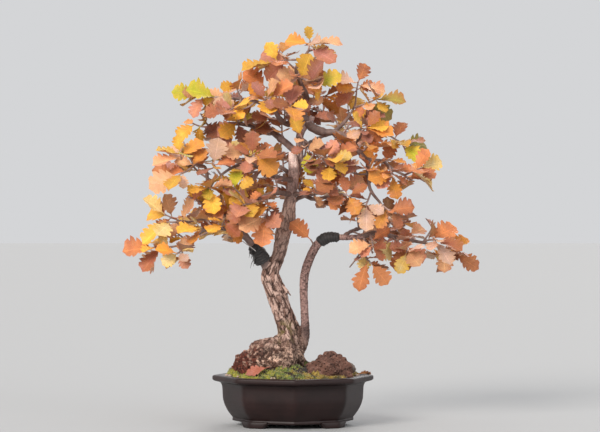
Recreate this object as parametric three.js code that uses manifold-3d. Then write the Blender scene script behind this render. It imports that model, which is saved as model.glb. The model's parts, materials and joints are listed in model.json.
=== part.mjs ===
// An oak bonsai in autumn leaf, in an octagonal pot of unglazed brown clay.
// Millimetres, +Z up. Points of the tree are given from the pot's axis at the height of its feet.
// X runs to the right of the front view and Y away from it.
import * as THREE from "three";
import { mergeVertices } from "three/addons/utils/BufferGeometryUtils.js";
import Module from "manifold-3d";

const wasm = await Module();
wasm.setup();

// Clearance between pieces that touch
const GAP = 0.3;

// Pot: regular octagon, with the radius out to its corners
const SIDES = 8;
const POT_TURN = THREE.MathUtils.degToRad(1.75);
const POT_TOP = 92;
const POT_UNDERSIDE = 8;
const POT_FLOOR = 22;
const POT_OUTSIDE = [
  [112, POT_UNDERSIDE], [113, 11], [112, 14.5], [113.5, 16], [121.4, 26.3], [127, 37], [130.6, 49],
  [131.6, 72], [135, 79], [146.5, 81.5], [150, 84], [150, 89.5], [147.5, POT_TOP],
];
const POT_INSIDE = [[131, POT_TOP], [128, 89.5], [122, 80], [120, 50], [112, 36], [102, POT_FLOOR]];
const FOOT = { corner: 116.5, reach: 36, step: 26, height: 12.5, thick: 15 };
const DRAIN = { offset: 48, radius: 11 };
const SCREEN = { side: 36, thick: 1.2, hole: 10, pitch: 15 };

// Soil: fills the pot and rises to a flat-topped mound, with a plain hole for the root plug
const SOIL_TOP = [[125, 86], [118, 92], [86, 102], [46, 111], [0, 113]];
const PLUG = { x: -6, y: 0, radius: 26, bottom: 70, top: 106 };

// Moss: three cushions side by side on the mound, as angles round the pot's axis
const MOSS = {
  inner: 20,
  rim: 121,
  foot: 66,
  thick: 6,
  bump: 2.6,
  turn: 20,
  rows: 3,
  patches: {
    moss_gold: [-82, 12],
    moss_front: [-172, -84],
    moss_back: [14, 186],
  },
};

// Stones beside the trunk: centre, half sizes, turn about Z
const STONES = {
  rock: { at: [68.4, -53.5, 103.7], half: [40.3, 25.5, 30], turn: 0.2, detail: 2, rough: 0.28 },
  stone_small: { at: [104, -17, 103], half: [11, 9, 12], turn: 0.5, detail: 1, rough: 0.16 },
};

// Wood: centre line points and radius [x, y, z, r], from the thick end
const WOOD = {
  trunk: [
    [0, 4, 75, 24], [-4, 2, 108, 25], [-6, 0, 137, 23], [-6, -2, 160, 20.5], [-12, -4, 187, 19.4],
    [-20, -6, 212, 18.6], [-28, -8, 236, 18.2], [-37, -9, 258, 16.6], [-41, -8, 276, 15.6],
    [-37, -5, 291, 14.4], [-29, -2, 306, 12.4], [-24, 0, 323, 12.6], [-20, 2, 343, 13.2],
    [-14, 4, 364, 13.6], [-10, 4, 383, 13.2], [-6, 3, 407, 11.4], [-1, 1, 441, 10], [1, 0, 472, 9],
    [0, -1, 502, 8],
  ],
  second_trunk: [
    [4, 4, 112, 10], [14, 4, 136, 9.6], [22, 3, 160, 8.2], [22, 2, 188, 7.9], [21, 0, 218, 7.6],
    [19.5, -2, 248, 7.6], [21, -3, 272, 8], [27, -4, 296, 8.5], [36, -6, 318, 8.7], [45, -8, 332, 8],
    [57, -9, 341.5, 7.4], [71, -10, 345.5, 6.6], [88, -11, 344.5, 5.6], [110, -12, 344.5, 5.3],
    [130, -14, 346, 4.8],
  ],
  leader: [
    [-2, 4, 443, 7], [7, 12, 465, 7.2], [13, 16, 487, 7], [12, 16, 511, 6.8], [13, 13, 535, 7.4],
    [24, 10, 556, 8.6], [37, 8, 565, 5.5],
  ],
  apex: [
    [24, 10, 556, 6.6], [20, 12, 580, 5.2], [26, 10, 603, 4.6], [15, 6, 627, 4], [6, 2, 653, 3.4],
    [17, 0, 671, 3], [28, -2, 687, 2.4],
  ],
  left_top: [
    [28, 6, 563, 6], [11, -2, 562, 5.6], [-9, -12, 553, 5.2], [-24, -18, 562, 4.6],
    [-33, -20, 576, 4.2], [-47, -20, 585, 3.6], [-68, -14, 594, 3.2], [-95, -8, 599, 2.8],
    [-118, -2, 599, 2.2],
  ],
  left_upper: [
    [12, 16, 497, 6.4], [-4, 17, 511, 6.4], [-18, 20, 523, 6.4], [-37, 30, 538, 5.6], [-63, 44, 548, 4.6],
    [-95, 56, 555, 3.8], [-129, 66, 556, 3], [-156, 71, 550, 2.4],
  ],
  left_middle: [
    [-2, -6, 450, 5], [-29, -22, 455, 4.4], [-55, -38, 468, 4], [-82, -52, 480, 3.4],
    [-111, -66, 471, 2.8], [-130, -74, 458, 2.2],
  ],
  left_lower: [
    [-42, -6, 282, 11.5], [-54, -9, 301, 9.4], [-68, -16, 324, 7.6], [-91, -28, 351, 5.4],
    [-115, -38, 379, 4.4], [-140, -46, 406, 3.8], [-156, -50, 429, 3.4], [-156, -52, 453, 3.2],
    [-160, -56, 473, 2.8], [-180, -62, 477, 2.4], [-198, -68, 472, 2],
  ],
  left_drop: [
    [-91, -28, 351, 4.6], [-118, -48, 360, 3.8], [-145, -62, 362, 3.4], [-163, -72, 357, 3],
    [-186, -80, 339, 2.5], [-200, -85, 332, 2],
  ],
  front_left: [
    [-6, -6, 424, 5], [-22, -26, 426, 4.4], [-42, -50, 424, 3.8], [-62, -72, 415, 3],
    [-73, -84, 409, 2.2],
  ],
  front_right: [
    [2, -4, 424, 5], [18, -22, 424, 4.4], [36, -44, 415, 3.8], [60, -62, 418, 3.2], [82, -76, 423, 2.2],
  ],
  front_middle: [[13, 10, 528, 4.5], [26, -24, 516, 4], [40, -56, 500, 3.2], [52, -78, 490, 2.2]],
  right_main: [
    [24, 8, 554, 7.4], [50, 2, 540, 6.4], [74, -4, 538, 5.4], [96, -8, 531, 4.8], [112, -12, 518, 4.3],
    [123, -16, 500, 3.9], [137, -22, 487, 3.6], [163, -30, 484, 3.1], [182, -36, 470, 2.7],
    [204, -42, 458, 2.2],
  ],
  right_upper: [[74, -4, 538, 4.4], [92, 14, 554, 3.8], [105, 25, 570, 3]],
  right_shoulder: [
    [112, -12, 518, 4.4], [127, 4, 533, 3.8], [148, 18, 541, 3.2], [176, 28, 535, 2.4],
  ],
  right_hanging: [
    [137, -22, 487, 3.8], [137, -40, 461, 3.4], [141, -56, 432, 3], [160, -72, 405, 2.2],
  ],
  right_lower: [
    [128, -14, 346, 4.4], [152, -12, 353, 4], [181, -2, 347, 3.6], [210, 8, 340, 3.2],
    [239, 16, 335, 2.8], [268, 22, 328, 2.2],
  ],
  back_top: [[20, 12, 576, 4.4], [11, 50, 592, 3.4], [2, 80, 603, 2.2]],
  back_right: [[11, 16, 506, 4.6], [35, 60, 522, 3.8], [58, 104, 535, 3], [74, 128, 539, 2.2]],
  back_left: [[0, 8, 458, 4.6], [-20, 50, 473, 3.8], [-47, 96, 485, 3], [-66, 122, 492, 2.2]],
  back_low: [[-6, 6, 406, 4.6], [13, 52, 418, 3.8], [38, 98, 425, 3], [59, 126, 428, 2.2]],
  back_right_low: [[88, -11, 343, 3.8], [109, 30, 356, 3.4], [136, 72, 363, 2.8], [156, 96, 364, 2.2]],
  back_left_low: [[-74, -19, 331, 4.2], [-87, 30, 347, 3.6], [-107, 76, 362, 2.8], [-118, 98, 365, 2.2]],
  stub_kink: [[-30, -10, 262, 3.6], [-12, -16, 247, 2.8], [-4, -18, 238, 1.8]],
  twig_left: [[128, -14, 346, 2.4], [132, -18, 332, 2], [116, -16, 306, 1.6], [104, -14, 290, 1.1]],
  root_left: [[-6, -4, 132, 17], [-44, -26, 121, 12], [-76, -32, 110, 7], [-92, -36, 100, 3]],
  root_front: [[4, -10, 124, 13], [-6, -44, 116, 8], [-16, -70, 107, 4]],
  root_back: [[-2, 10, 126, 15], [18, 50, 112, 8], [30, 74, 105, 4]],
  root_back_left: [[-16, 14, 122, 13], [-44, 42, 112, 8], [-62, 60, 103, 4]],
};
// Bulges of the old root stock: centre and half sizes
const BURLS = [
  [-17, -16, 128, 26, 26, 41], [-50, -24, 128, 30, 31, 34], [-82, -26, 111, 27, 26, 26],
  [-38, -48, 116, 40, 14, 21], [-7, -27, 116, 13, 24, 32], [-6, 11, 113, 14, 14, 13],
];
// Wrappings: the branch, its stretch in point numbers, wall
const WRAPS = {
  wrap_right: { branch: "second_trunk", from: 9.25, to: 11.85, wall: 2.4 },
  wrap_left: { branch: "left_lower", from: 0.95, to: 1.95, wall: 2.6 },
};

// Leaf: its stalk, the count of teeth on each side and how far each tooth and notch lies from the edge,
// then the least and the most of the traits that differ from leaf to leaf, as parts of its length
const LEAF = {
  stalk: 0.13, stalkHalf: 0.85, teeth: 3, toothOut: 1.16, notchIn: 0.8, midrib: 0.9,
  widths: [0.58, 0.76], folds: [0.1, 0.5], droops: [0.03, 0.23], roll: 1.05, ripple: 0.16,
};
// Shoots start this far along their twig, clear of the branch
const BARE = 0.35;
const TWIG = { base: 2, tip: 1.3, sides: 4, step: 26 };

// Leafy shoots: the twig's points, then each leaf as [place along the twig 0 to 1,
// direction in the front view in degrees from +X, length, lean towards the front in degrees]
const SHOOTS = [
  {
    name: "apex_top",
    hue: "amber",
    twig: [[28, -2, 687], [30, -6, 695], [31, -8, 704]],
    leaves: [
      [1, 96, 29, 18], [0.7, 170, 48, -14], [0.55, 10, 60, 10], [0.9, 5, 38, 38],
      [0, 333, 60, 24],
    ],
  },
  {
    name: "apex_left",
    hue: "peach",
    twig: [[17, 0, 671], [-2, -8, 671], [-20, -14, 668], [-37, -18, 666]],
    leaves: [
      [0.75, 116, 40, 12], [0.25, 162, 56, -22], [1, 193, 60, 8], [0.35, 196, 45, 30],
      [0.12, 206, 57, 14], [0.3, 227, 52, -16],
    ],
  },
  {
    name: "apex_mid",
    hue: "rose",
    twig: [[11, 4, 638], [24, -10, 634], [33, -20, 626], [40, -26, 622]],
    leaves: [
      [0.35, 65, 53, 26], [0.08, 28, 40, -10], [0.3, 308, 32, 40], [1, 25, 53, 8],
      [0.9, 331, 42, 22], [0.75, 303, 35, -12],
    ],
  },
  {
    name: "left_top_end",
    hue: "green",
    twig: [[-118, -2, 599], [-137, 2, 602], [-155, 4, 604], [-174, 6, 606]],
    leaves: [
      [1, 169, 50, 10], [1, 206, 43, -18], [0.75, 239, 45, 20], [0.1, 162, 60, 26],
      [0, 29, 60, -20], [0.3, 328, 54, 30],
    ],
  },
  {
    name: "left_top_low",
    hue: "peach",
    twig: [[-95, -8, 599], [-100, -30, 587], [-114, -48, 577]],
    leaves: [[1, 188, 48, 8], [0.95, 211, 58, 30], [0.6, 315, 45, -24], [0.8, 114, 34, 24]],
  },
  {
    name: "left_shoulder",
    hue: "amber",
    twig: [[-57, -17, 589], [-50, -34, 597], [-41, -50, 600]],
    leaves: [[0.9, 32, 50, 8], [0.3, 127, 40, 20], [0.8, 307, 28, -16], [0.1, 163, 33, -24]],
  },
  {
    name: "centre_star",
    hue: "amber",
    twig: [[-15, -16, 556], [-9, -40, 574], [-4, -62, 585]],
    leaves: [[0.6, 78, 59, -30], [1, 288, 50, 55], [0.5, 176, 28, 10], [0.9, 9, 33, 26]],
  },
  {
    name: "left_upper_end",
    hue: "yellow",
    twig: [[-155, 71, 550], [-174, 76, 552], [-185, 70, 556]],
    leaves: [[0.9, 217, 42, 12], [0.3, 273, 33, 26], [0.02, 337, 52, 30], [1, 160, 34, -22]],
  },
  {
    name: "left_upper_mid",
    hue: "green",
    twig: [[-91, 54, 555], [-98, 30, 558], [-103, 12, 556]],
    leaves: [[0.8, 29, 36, 14], [1, 221, 42, 20], [0.9, 288, 39, 35], [0.6, 149, 30, -12]],
  },
  {
    name: "left_outer",
    hue: "yellow",
    twig: [[-198, -68, 472], [-201, -76, 485], [-204, -84, 498]],
    leaves: [[1, 99, 33, 14], [0.9, 170, 45, 10], [0.5, 188, 55, 24], [0.7, 37, 51, -14]],
  },
  {
    name: "left_outer_low",
    hue: "peach",
    twig: [[-178, -62, 477], [-188, -84, 467], [-203, -104, 459]],
    leaves: [
      [1, 201, 60, 14], [0.9, 226, 53, 28], [0.45, 185, 35, -18], [0.75, 276, 31, 36],
      [0.05, 53, 51, 12],
    ],
  },
  {
    name: "left_mid_end",
    hue: "amber",
    twig: [[-130, -74, 458], [-139, -84, 471], [-144, -92, 478]],
    leaves: [[0.8, 79, 50, 10], [0.7, 16, 40, 16], [1, 141, 42, -20], [0.4, 203, 40, 30]],
  },
  {
    name: "left_big",
    hue: "yellow",
    twig: [[-156, -51, 442], [-154, -74, 438], [-150, -92, 434]],
    leaves: [[1, 280, 47, 10], [0.5, 213, 40, -20], [0.7, 7, 46, 20]],
  },
  {
    name: "node_left",
    hue: "orange",
    twig: [[-76, -48, 479], [-78, -70, 489], [-70, -92, 496]],
    leaves: [[1, 321, 54, 12], [0.6, 147, 35, 10], [0.3, 251, 34, 30], [0.95, 36, 39, -18]],
  },
  {
    name: "front_left_end",
    hue: "cream",
    twig: [[-72, -84, 409], [-79, -94, 406], [-88, -104, 404]],
    leaves: [[0.8, 136, 45, 8], [1, 229, 40, 16], [0.2, 51, 31, -16], [0.6, 109, 46, 30]],
  },
  {
    name: "front_left_low",
    hue: "peach",
    twig: [[-48, -58, 419], [-45, -78, 398], [-50, -92, 382]],
    leaves: [[0.35, 327, 34, 12], [1, 263, 54, 14], [0.95, 204, 55, 8], [0.85, 322, 47, 28]],
  },
  {
    name: "left_drop_mid",
    hue: "rust",
    twig: [[-125, -52, 360], [-129, -70, 366], [-125, -86, 375]],
    leaves: [[0.9, 320, 40, 14], [0.5, 321, 50, -14], [1, 122, 35, 10], [0.95, 40, 41, 26]],
  },
  {
    name: "left_fan_end",
    hue: "cream",
    bare: 0.72,
    twig: [
      [-145, -62, 362], [-160, -56, 377], [-187, -50, 374], [-206, -47, 376], [-218, -54, 380],
      [-231, -60, 386],
    ],
    leaves: [[1, 142, 51, 10], [0.8, 172, 46, -26], [0.45, 223, 41, 30], [0.35, 107, 47, 14]],
  },
  {
    name: "left_fan_low",
    on: "left_fan_end",
    hue: "yellow",
    twig: [[-187, -50, 373], [-204, -76, 373], [-225, -98, 373]],
    leaves: [[1, 216, 60, 12], [0.85, 224, 53, 30], [0.1, 73, 50, 16], [0.95, 180, 41, -20]],
  },
  {
    name: "left_drop_end",
    hue: "peach",
    twig: [[-199, -84, 332], [-222, -92, 328], [-247, -98, 328]],
    leaves: [
      [1, 185, 60, 8], [0.25, 128, 28, 26], [0.05, 12, 38, 20], [0.7, 231, 56, 12],
      [0.8, 237, 60, -16],
    ],
  },
  {
    name: "left_drop_low",
    on: "left_drop_end",
    hue: "cream",
    twig: [[-208, -87, 330], [-202, -104, 322], [-206, -118, 317]],
    leaves: [[0.85, 215, 36, 10], [0.6, 297, 35, 20], [1, 162, 42, -20]],
  },
  {
    name: "left_low_top",
    hue: "amber",
    twig: [[-108, -36, 369], [-97, -20, 388], [-92, -8, 402]],
    leaves: [[1, 136, 44, 12], [0.95, 44, 42, 18], [0.7, 160, 38, -14]],
  },
  {
    name: "front_right_mid",
    hue: "orange",
    twig: [[38, -46, 415], [40, -62, 426], [42, -72, 435]],
    leaves: [[1, 63, 41, 14], [0.6, 29, 56, 8], [0, 300, 33, 24], [0.8, 141, 30, -10]],
  },
  {
    name: "front_right_end",
    hue: "rust",
    twig: [[80, -74, 422], [90, -88, 424], [101, -98, 420]],
    leaves: [[1, 37, 38, 10], [0.3, 229, 37, 20], [0.9, 299, 41, 24], [0.7, 97, 36, -22]],
  },
  {
    name: "front_mid_low",
    hue: "green",
    twig: [[20, -8, 522], [22, -34, 512], [25, -52, 502]],
    leaves: [[1, 281, 42, 16], [0.5, 197, 28, 10], [0.8, 25, 42, 18]],
  },
  {
    name: "front_mid_end",
    hue: "orange",
    twig: [[49, -72, 492], [58, -90, 489], [70, -102, 488]],
    leaves: [[0.5, 65, 36, 12], [0.85, 28, 56, 8], [0.8, 321, 42, 26], [1, 6, 39, -20]],
  },
  {
    name: "right_up_end",
    hue: "peach",
    bare: 0.55,
    twig: [[105, 25, 570], [115, 33, 591], [117, 36, 608], [118, 26, 619], [120, 18, 630]],
    leaves: [[1, 171, 45, 8], [0.8, 353, 53, 14], [1, 68, 42, -16], [0.3, 212, 47, 20]],
  },
  {
    name: "right_up_low",
    on: "right_up_end",
    hue: "green",
    twig: [[112, 31, 584], [125, 12, 588], [140, -8, 593], [154, -16, 599]],
    leaves: [[0.9, 1, 56, 10], [0.9, 311, 33, 22], [0.45, 330, 57, -14], [0.1, 248, 28, 26]],
  },
  {
    name: "right_shoulder_low",
    hue: "amber",
    twig: [[120, -2, 526], [126, -24, 538], [133, -40, 544]],
    leaves: [[0.9, 349, 54, 8], [0.5, 205, 34, 22], [0.8, 151, 36, -14], [1, 51, 40, 16]],
  },
  {
    name: "right_shoulder_end",
    hue: "orange",
    twig: [[174, 28, 536], [191, 24, 525], [205, 18, 517]],
    leaves: [
      [0.1, 64, 42, -22], [0.9, 13, 42, 10], [1, 0, 60, -14], [0.95, 316, 48, 24],
      [0.2, 241, 42, 20],
    ],
  },
  {
    name: "right_main_end",
    hue: "orange",
    twig: [[202, -42, 458], [216, -52, 464], [231, -60, 471]],
    leaves: [[1, 18, 44, -16], [1, 328, 39, 16], [0.6, 61, 45, 14], [0.35, 329, 58, -24]],
  },
  {
    name: "right_main_mid",
    hue: "salmon",
    twig: [[175, -34, 475], [178, -58, 466], [179, -74, 456]],
    leaves: [[1, 282, 43, 12], [0.8, 222, 40, 14], [0.4, 16, 41, 10], [0.5, 175, 48, -20]],
  },
  {
    name: "right_hang_end",
    hue: "orange",
    twig: [[158, -72, 406], [168, -88, 398], [178, -98, 391]],
    leaves: [[0.6, 8, 47, 8], [0.9, 305, 33, 14], [1, 340, 56, -20], [0.4, 241, 41, 18]],
  },
  {
    name: "right_hang_mid",
    hue: "brown",
    twig: [[142, -57, 429], [137, -76, 415], [132, -92, 404]],
    leaves: [[0.6, 196, 58, 8], [1, 216, 54, 14], [0.9, 269, 51, 30], [0.3, 163, 35, -18]],
  },
  {
    name: "right_low_mid",
    hue: "orange",
    twig: [[141, -13, 350], [144, -36, 340], [145, -54, 331]],
    leaves: [[0.3, 37, 40, 10], [0.8, 192, 45, 16], [1, 309, 37, 30], [0.9, 333, 51, 12]],
  },
  {
    name: "right_low_end",
    hue: "rust",
    twig: [[239, 16, 335], [251, 2, 340], [263, -8, 340]],
    leaves: [[0.5, 32, 55, -12], [1, 344, 58, 8], [0.8, 306, 57, 20]],
  },
  {
    name: "right_low_tip",
    hue: "peach",
    twig: [[266, 22, 329], [283, 30, 322], [300, 36, 313]],
    leaves: [[1, 332, 52, 6], [0.2, 266, 44, 18], [0.6, 38, 44, -16]],
  },
  {
    name: "right_low_hang",
    hue: "cream",
    twig: [[210, 8, 340], [209, -14, 328], [208, -30, 319]],
    leaves: [[1, 251, 43, 10], [0.8, 311, 47, 18], [0.2, 96, 34, -12], [0.5, 172, 37, 22]],
  },
  {
    name: "hanging_pair",
    hue: "orange",
    twig: [[130, -14, 346], [132, -30, 324], [133, -40, 309], [142, -48, 298]],
    leaves: [[0.72, 250, 60, 12], [1, 309, 50, 10]],
  },
  {
    name: "single_leaf",
    hue: "orange",
    twig: [[39, -9, 327], [36, -22, 335], [33, -30, 340]],
    leaves: [[1, 135, 50, 10]],
  },
];

// Shoots at the back: the twig's points. The same number of leaves spirals round each twig,
// and they open less towards its tip.
const BACK_SHOOTS = [
  { name: "back_top_end", hue: "amber", twig: [[2, 80, 603], [-6, 104, 617], [-13, 122, 633]] },
  { name: "back_top_side", hue: "orange", twig: [[11, 50, 592], [39, 70, 604], [62, 92, 609]] },
  { name: "back_right_end", hue: "peach", twig: [[74, 128, 539], [93, 152, 546], [113, 172, 554]] },
  { name: "back_right_side", hue: "amber", twig: [[35, 60, 522], [47, 86, 493], [55, 108, 471]] },
  { name: "back_left_end", hue: "yellow", twig: [[-66, 122, 492], [-85, 144, 498], [-105, 164, 506]] },
  { name: "back_left_side", hue: "orange", twig: [[-20, 50, 473], [-43, 76, 451], [-66, 100, 437]] },
  { name: "back_low_end", hue: "peach", twig: [[59, 126, 428], [78, 148, 430], [101, 168, 434]] },
  { name: "back_right_low_end", hue: "rust", twig: [[156, 96, 364], [179, 112, 369], [202, 128, 373]] },
  { name: "back_left_low_end", hue: "amber", twig: [[-118, 98, 365], [-138, 118, 373], [-161, 136, 380]] },
];
const BACK_LEAVES = { count: 5, shortest: 40, longest: 54, openAtFoot: 1.25, openAtTip: 0.45 };

// Fallen leaves: stalk end, direction, which way the face looks, length and width
const FALLEN = {
  fallen_leaf_left: {
    base: [-42, -80, 128], along: [-0.95, -0.05, -0.22], face: [-0.1, -0.7, 0.7], length: 46, width: 24,
  },
  fallen_leaf_right: {
    base: [118, 4, 100], along: [0.85, 0.4, 0.1], face: [-0.1, 0, 1], length: 28, width: 14,
  },
};

// The longest way that a piece may be let down to its bed
const FALL = 30;

// Evenly scattered numbers between 0 and 1, one run for each trait of the leaves
const TRAITS = { width: 2, roll: 3, fold: 5, droop: 7, wave: 11 };
const scatter = (count, trait) => ((count + 1) * Math.sqrt(TRAITS[trait])) % 1;

const vector = (p) => new THREE.Vector3(p[0], p[1], p[2]);
const mixed = (a, b, t) => a + (b - a) * t;

// A closed geometry as a solid that can be joined and cut
function solidOf(geometry) {
  const bare = geometry.clone();
  bare.deleteAttribute("normal");
  bare.deleteAttribute("uv");
  const merged = mergeVertices(bare, 1e-4);
  return new wasm.Manifold(
    new wasm.Mesh({
      numProp: 3,
      vertProperties: new Float32Array(merged.attributes.position.array),
      triVerts: new Uint32Array(merged.index.array),
    }),
  );
}

const largestBody = (solid) => solid.decompose().reduce((a, b) => (b.volume() > a.volume() ? b : a));

function geometryOf(solid) {
  const mesh = solid.getMesh();
  const geometry = new THREE.BufferGeometry();
  geometry.setAttribute("position", new THREE.BufferAttribute(mesh.vertProperties, 3));
  geometry.setIndex(new THREE.BufferAttribute(mesh.triVerts, 1));
  geometry.computeVertexNormals();
  return geometry;
}

const joined = (solids) => solids.reduce((a, b) => a.add(b));

// A closed surface through rings of points, with a point at each end
function skin(rings, start, end) {
  const count = rings[0].length;
  const points = [...rings.flat(), start, end];
  const faces = [];
  const last = (rings.length - 1) * count;
  for (let j = 0; j < count; j++) {
    const k = (j + 1) % count;
    faces.push(points.length - 2, k, j, points.length - 1, last + j, last + k);
    for (let i = 0; i < last; i += count) {
      faces.push(i + j, i + k, i + count + j, i + k, i + count + k, i + count + j);
    }
  }
  return new THREE.BufferGeometry().setFromPoints(points).setIndex(faces);
}

// Stations along a branch's smooth centre line: place, direction and radius
function stations(points, step, from = 0, to = points.length - 1) {
  const curve = new THREE.CatmullRomCurve3(points.map(vector), false, "catmullrom", 0.5);
  const spans = points.length - 1;
  const marks = [from];
  for (let i = Math.floor(from); i < to; i++) {
    const [low, high] = [Math.max(i, from), Math.min(i + 1, to)];
    const length = vector(points[i]).distanceTo(vector(points[i + 1])) * (high - low);
    const parts = Math.max(1, Math.round(length / step));
    for (let k = 1; k <= parts; k++) marks.push(mixed(low, high, k / parts));
  }
  return marks.map((mark) => {
    const i = Math.min(Math.floor(mark), spans - 1);
    return {
      at: curve.getPoint(mark / spans),
      along: curve.getTangent(mark / spans),
      radius: mixed(points[i][3], points[i + 1][3], mark - i),
    };
  });
}

// A round branch along its centre line; grow widens it, and knots make it uneven
function limb(points, { sides = 6, step = 20, grow = 0, knots = 0, tip = 0.8, from, to }) {
  const marks = stations(points, step, from, to);
  const normal = new THREE.Vector3(0.3, -1, 0.1);
  const rings = marks.map(({ at, along, radius }) => {
    normal.addScaledVector(along, -normal.dot(along)).normalize();
    const across = along.clone().cross(normal);
    return Array.from({ length: sides }, (_, j) => {
      const turn = (2 * Math.PI * j) / sides;
      const uneven = Math.sin(3 * turn + at.z / 11) + Math.sin(2 * turn - at.z / 17 + 1.7);
      const reach = radius * (1 + (knots / 2) * uneven) + grow;
      const sideways = across.clone().multiplyScalar(reach * Math.sin(turn));
      return at.clone().addScaledVector(normal, reach * Math.cos(turn)).add(sideways);
    });
  });
  const [first, last] = [marks[0], marks[marks.length - 1]];
  const start = first.at.clone().addScaledVector(first.along, -0.3 * (first.radius + grow));
  const end = last.at.clone().addScaledVector(last.along, tip * (last.radius + grow));
  return skin(rings, start, end);
}

// An eight-sided piece of revolution about the pot's axis, from its profile of [corner radius, height]
function octagon(profile) {
  const lathe = new THREE.LatheGeometry(profile.map(([r, z]) => new THREE.Vector2(r, z)), SIDES);
  return lathe.rotateX(Math.PI / 2).rotateZ(POT_TURN);
}

// How far an octagon of this corner radius reaches in a direction
function octagonReach(corner, angle) {
  const half = Math.PI / SIDES;
  const turned = angle + Math.PI / 2 - POT_TURN;
  const within = ((turned % (2 * half)) + 2 * half) % (2 * half);
  return (corner * Math.cos(half)) / Math.cos(within - half);
}

// One arm of a corner foot: its cloud-cut outline seen from outside, along a face of the pot
function footArm(corner, next) {
  const outline = new THREE.Shape();
  outline.moveTo(0, 0);
  outline.lineTo(FOOT.step, 0);
  outline.quadraticCurveTo(FOOT.step + 5, 1, FOOT.step + 4.5, 6);
  outline.quadraticCurveTo(FOOT.reach, 7, FOOT.reach, FOOT.height);
  outline.lineTo(0, FOOT.height);
  const arm = new THREE.ExtrudeGeometry(outline, {
    depth: FOOT.thick,
    bevelEnabled: false,
    curveSegments: 2,
  });
  const along = next.clone().sub(corner).normalize();
  const up = new THREE.Vector3(0, 0, 1);
  const outward = along.clone().cross(up);
  const isOut = outward.dot(corner) > 0;
  arm.translate(0, 0, isOut ? -FOOT.thick : 0);
  return arm.applyMatrix4(new THREE.Matrix4().makeBasis(along, up, outward).setPosition(corner));
}

function footSolid(angle) {
  const place = (turn) => vector([Math.cos(turn), Math.sin(turn), 0]).multiplyScalar(FOOT.corner);
  const corner = place(angle);
  const side = (2 * Math.PI) / SIDES;
  return solidOf(footArm(corner, place(angle + side))).add(solidOf(footArm(corner, place(angle - side))));
}

const drainPlaces = [-1, 1].map((side) => [side * DRAIN.offset, 0]);

function potSolid() {
  const body = solidOf(octagon([[0, POT_UNDERSIDE], ...POT_OUTSIDE, ...POT_INSIDE, [0, POT_FLOOR]]));
  const feet = [1, 3, 5, 7].map((k) => footSolid(POT_TURN - Math.PI / 2 + (k * Math.PI) / 4));
  const drains = drainPlaces.map(([x, y]) => {
    const hole = new THREE.CylinderGeometry(DRAIN.radius, DRAIN.radius, 2 * POT_FLOOR, 12);
    return solidOf(hole.rotateX(Math.PI / 2).translate(x, y, POT_FLOOR));
  });
  return joined([body, ...feet]).subtract(joined(drains));
}

// A square screen with four square holes, lying over a drainage hole
function screenSolid([x, y]) {
  const block = (side, height, cx, cy) =>
    solidOf(new THREE.BoxGeometry(side, side, height).translate(cx, cy, POT_FLOOR + GAP + SCREEN.thick / 2));
  const near = SCREEN.pitch / 2;
  const holes = [[-near, -near], [near, -near], [-near, near], [near, near]].map(([i, j]) =>
    block(SCREEN.hole, 3 * SCREEN.thick, x + i, y + j),
  );
  return block(SCREEN.side, SCREEN.thick, x, y).subtract(joined(holes));
}

// The soil's outer form; lift raises its top, for what lies on it
function moundGeometry(lift = 0) {
  const inside = POT_INSIDE.slice(2).reverse().map(([r, z]) => [r - 2 * GAP, z + GAP]);
  return octagon([[0, POT_FLOOR + GAP], ...inside, ...SOIL_TOP.map(([r, z]) => [r, z + lift])]);
}

// A plain round column about the root plug's axis, between two heights
function column(radius, low, high) {
  const cylinder = new THREE.CylinderGeometry(radius, radius, high - low, 14).rotateX(Math.PI / 2);
  return solidOf(cylinder.translate(PLUG.x, PLUG.y, (low + high) / 2));
}
const plugHole = (radius) => column(radius, PLUG.bottom - GAP, POT_TOP + PLUG.radius);

function soilSolid() {
  const recess = 2 * (SCREEN.thick + 2 * GAP);
  const beds = drainPlaces.map(([x, y]) =>
    solidOf(new THREE.BoxGeometry(SCREEN.side + 1, SCREEN.side + 1, recess).translate(x, y, POT_FLOOR + GAP)),
  );
  return solidOf(moundGeometry()).subtract(plugHole(PLUG.radius + GAP)).subtract(joined(beds));
}

// A rough boulder: a ball whose points are pushed in and out by crossed waves
function boulder([x, y, z], half, { turn = 0, detail = 1, rough = 0.12 }) {
  const ball = new THREE.IcosahedronGeometry(1, detail);
  const place = ball.attributes.position;
  for (let i = 0; i < place.count; i++) {
    const p = new THREE.Vector3().fromBufferAttribute(place, i);
    const broad = Math.sin(4.1 * p.x + 2.3 * p.z + x) * Math.sin(3.7 * p.y - 2.9 * p.z + y);
    const fine = Math.sin(9.3 * p.x + z) * Math.sin(8.1 * p.y + 7.7 * p.z);
    p.multiplyScalar(1 + rough * (0.7 * broad + 0.4 * fine));
    place.setXYZ(i, p.x, p.y, p.z);
  }
  return ball.scale(...half).rotateZ(turn).translate(x, y, z);
}

// All wood that grew as one piece; grow widens it to leave room for what sits on it
function woodSolid(grow) {
  const limbs = Object.entries(WOOD).map(([name, points]) => {
    if (name === "trunk") return limb(points, { sides: 8, step: 20, knots: 0.14, tip: 0.5, grow });
    if (name === "second_trunk") return limb(points, { sides: 6, step: 22, knots: 0.08, grow });
    if (name.startsWith("root")) return limb(points, { sides: 7, step: 18, knots: 0.3, grow });
    return limb(points, { sides: 5, step: 40, grow });
  });
  const burls = BURLS.map(([x, y, z, ...half]) =>
    boulder([x, y, z], half.map((h) => h + grow), { rough: 0.22 }),
  );
  return joined([...limbs, ...burls].map(solidOf));
}

function wrapSolid({ branch, from, to, wall }) {
  const shape = { sides: 7, step: 13, from, to, tip: 0 };
  const outer = limb(WOOD[branch], { ...shape, grow: wall });
  return solidOf(outer).subtract(woodGrown);
}

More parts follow.
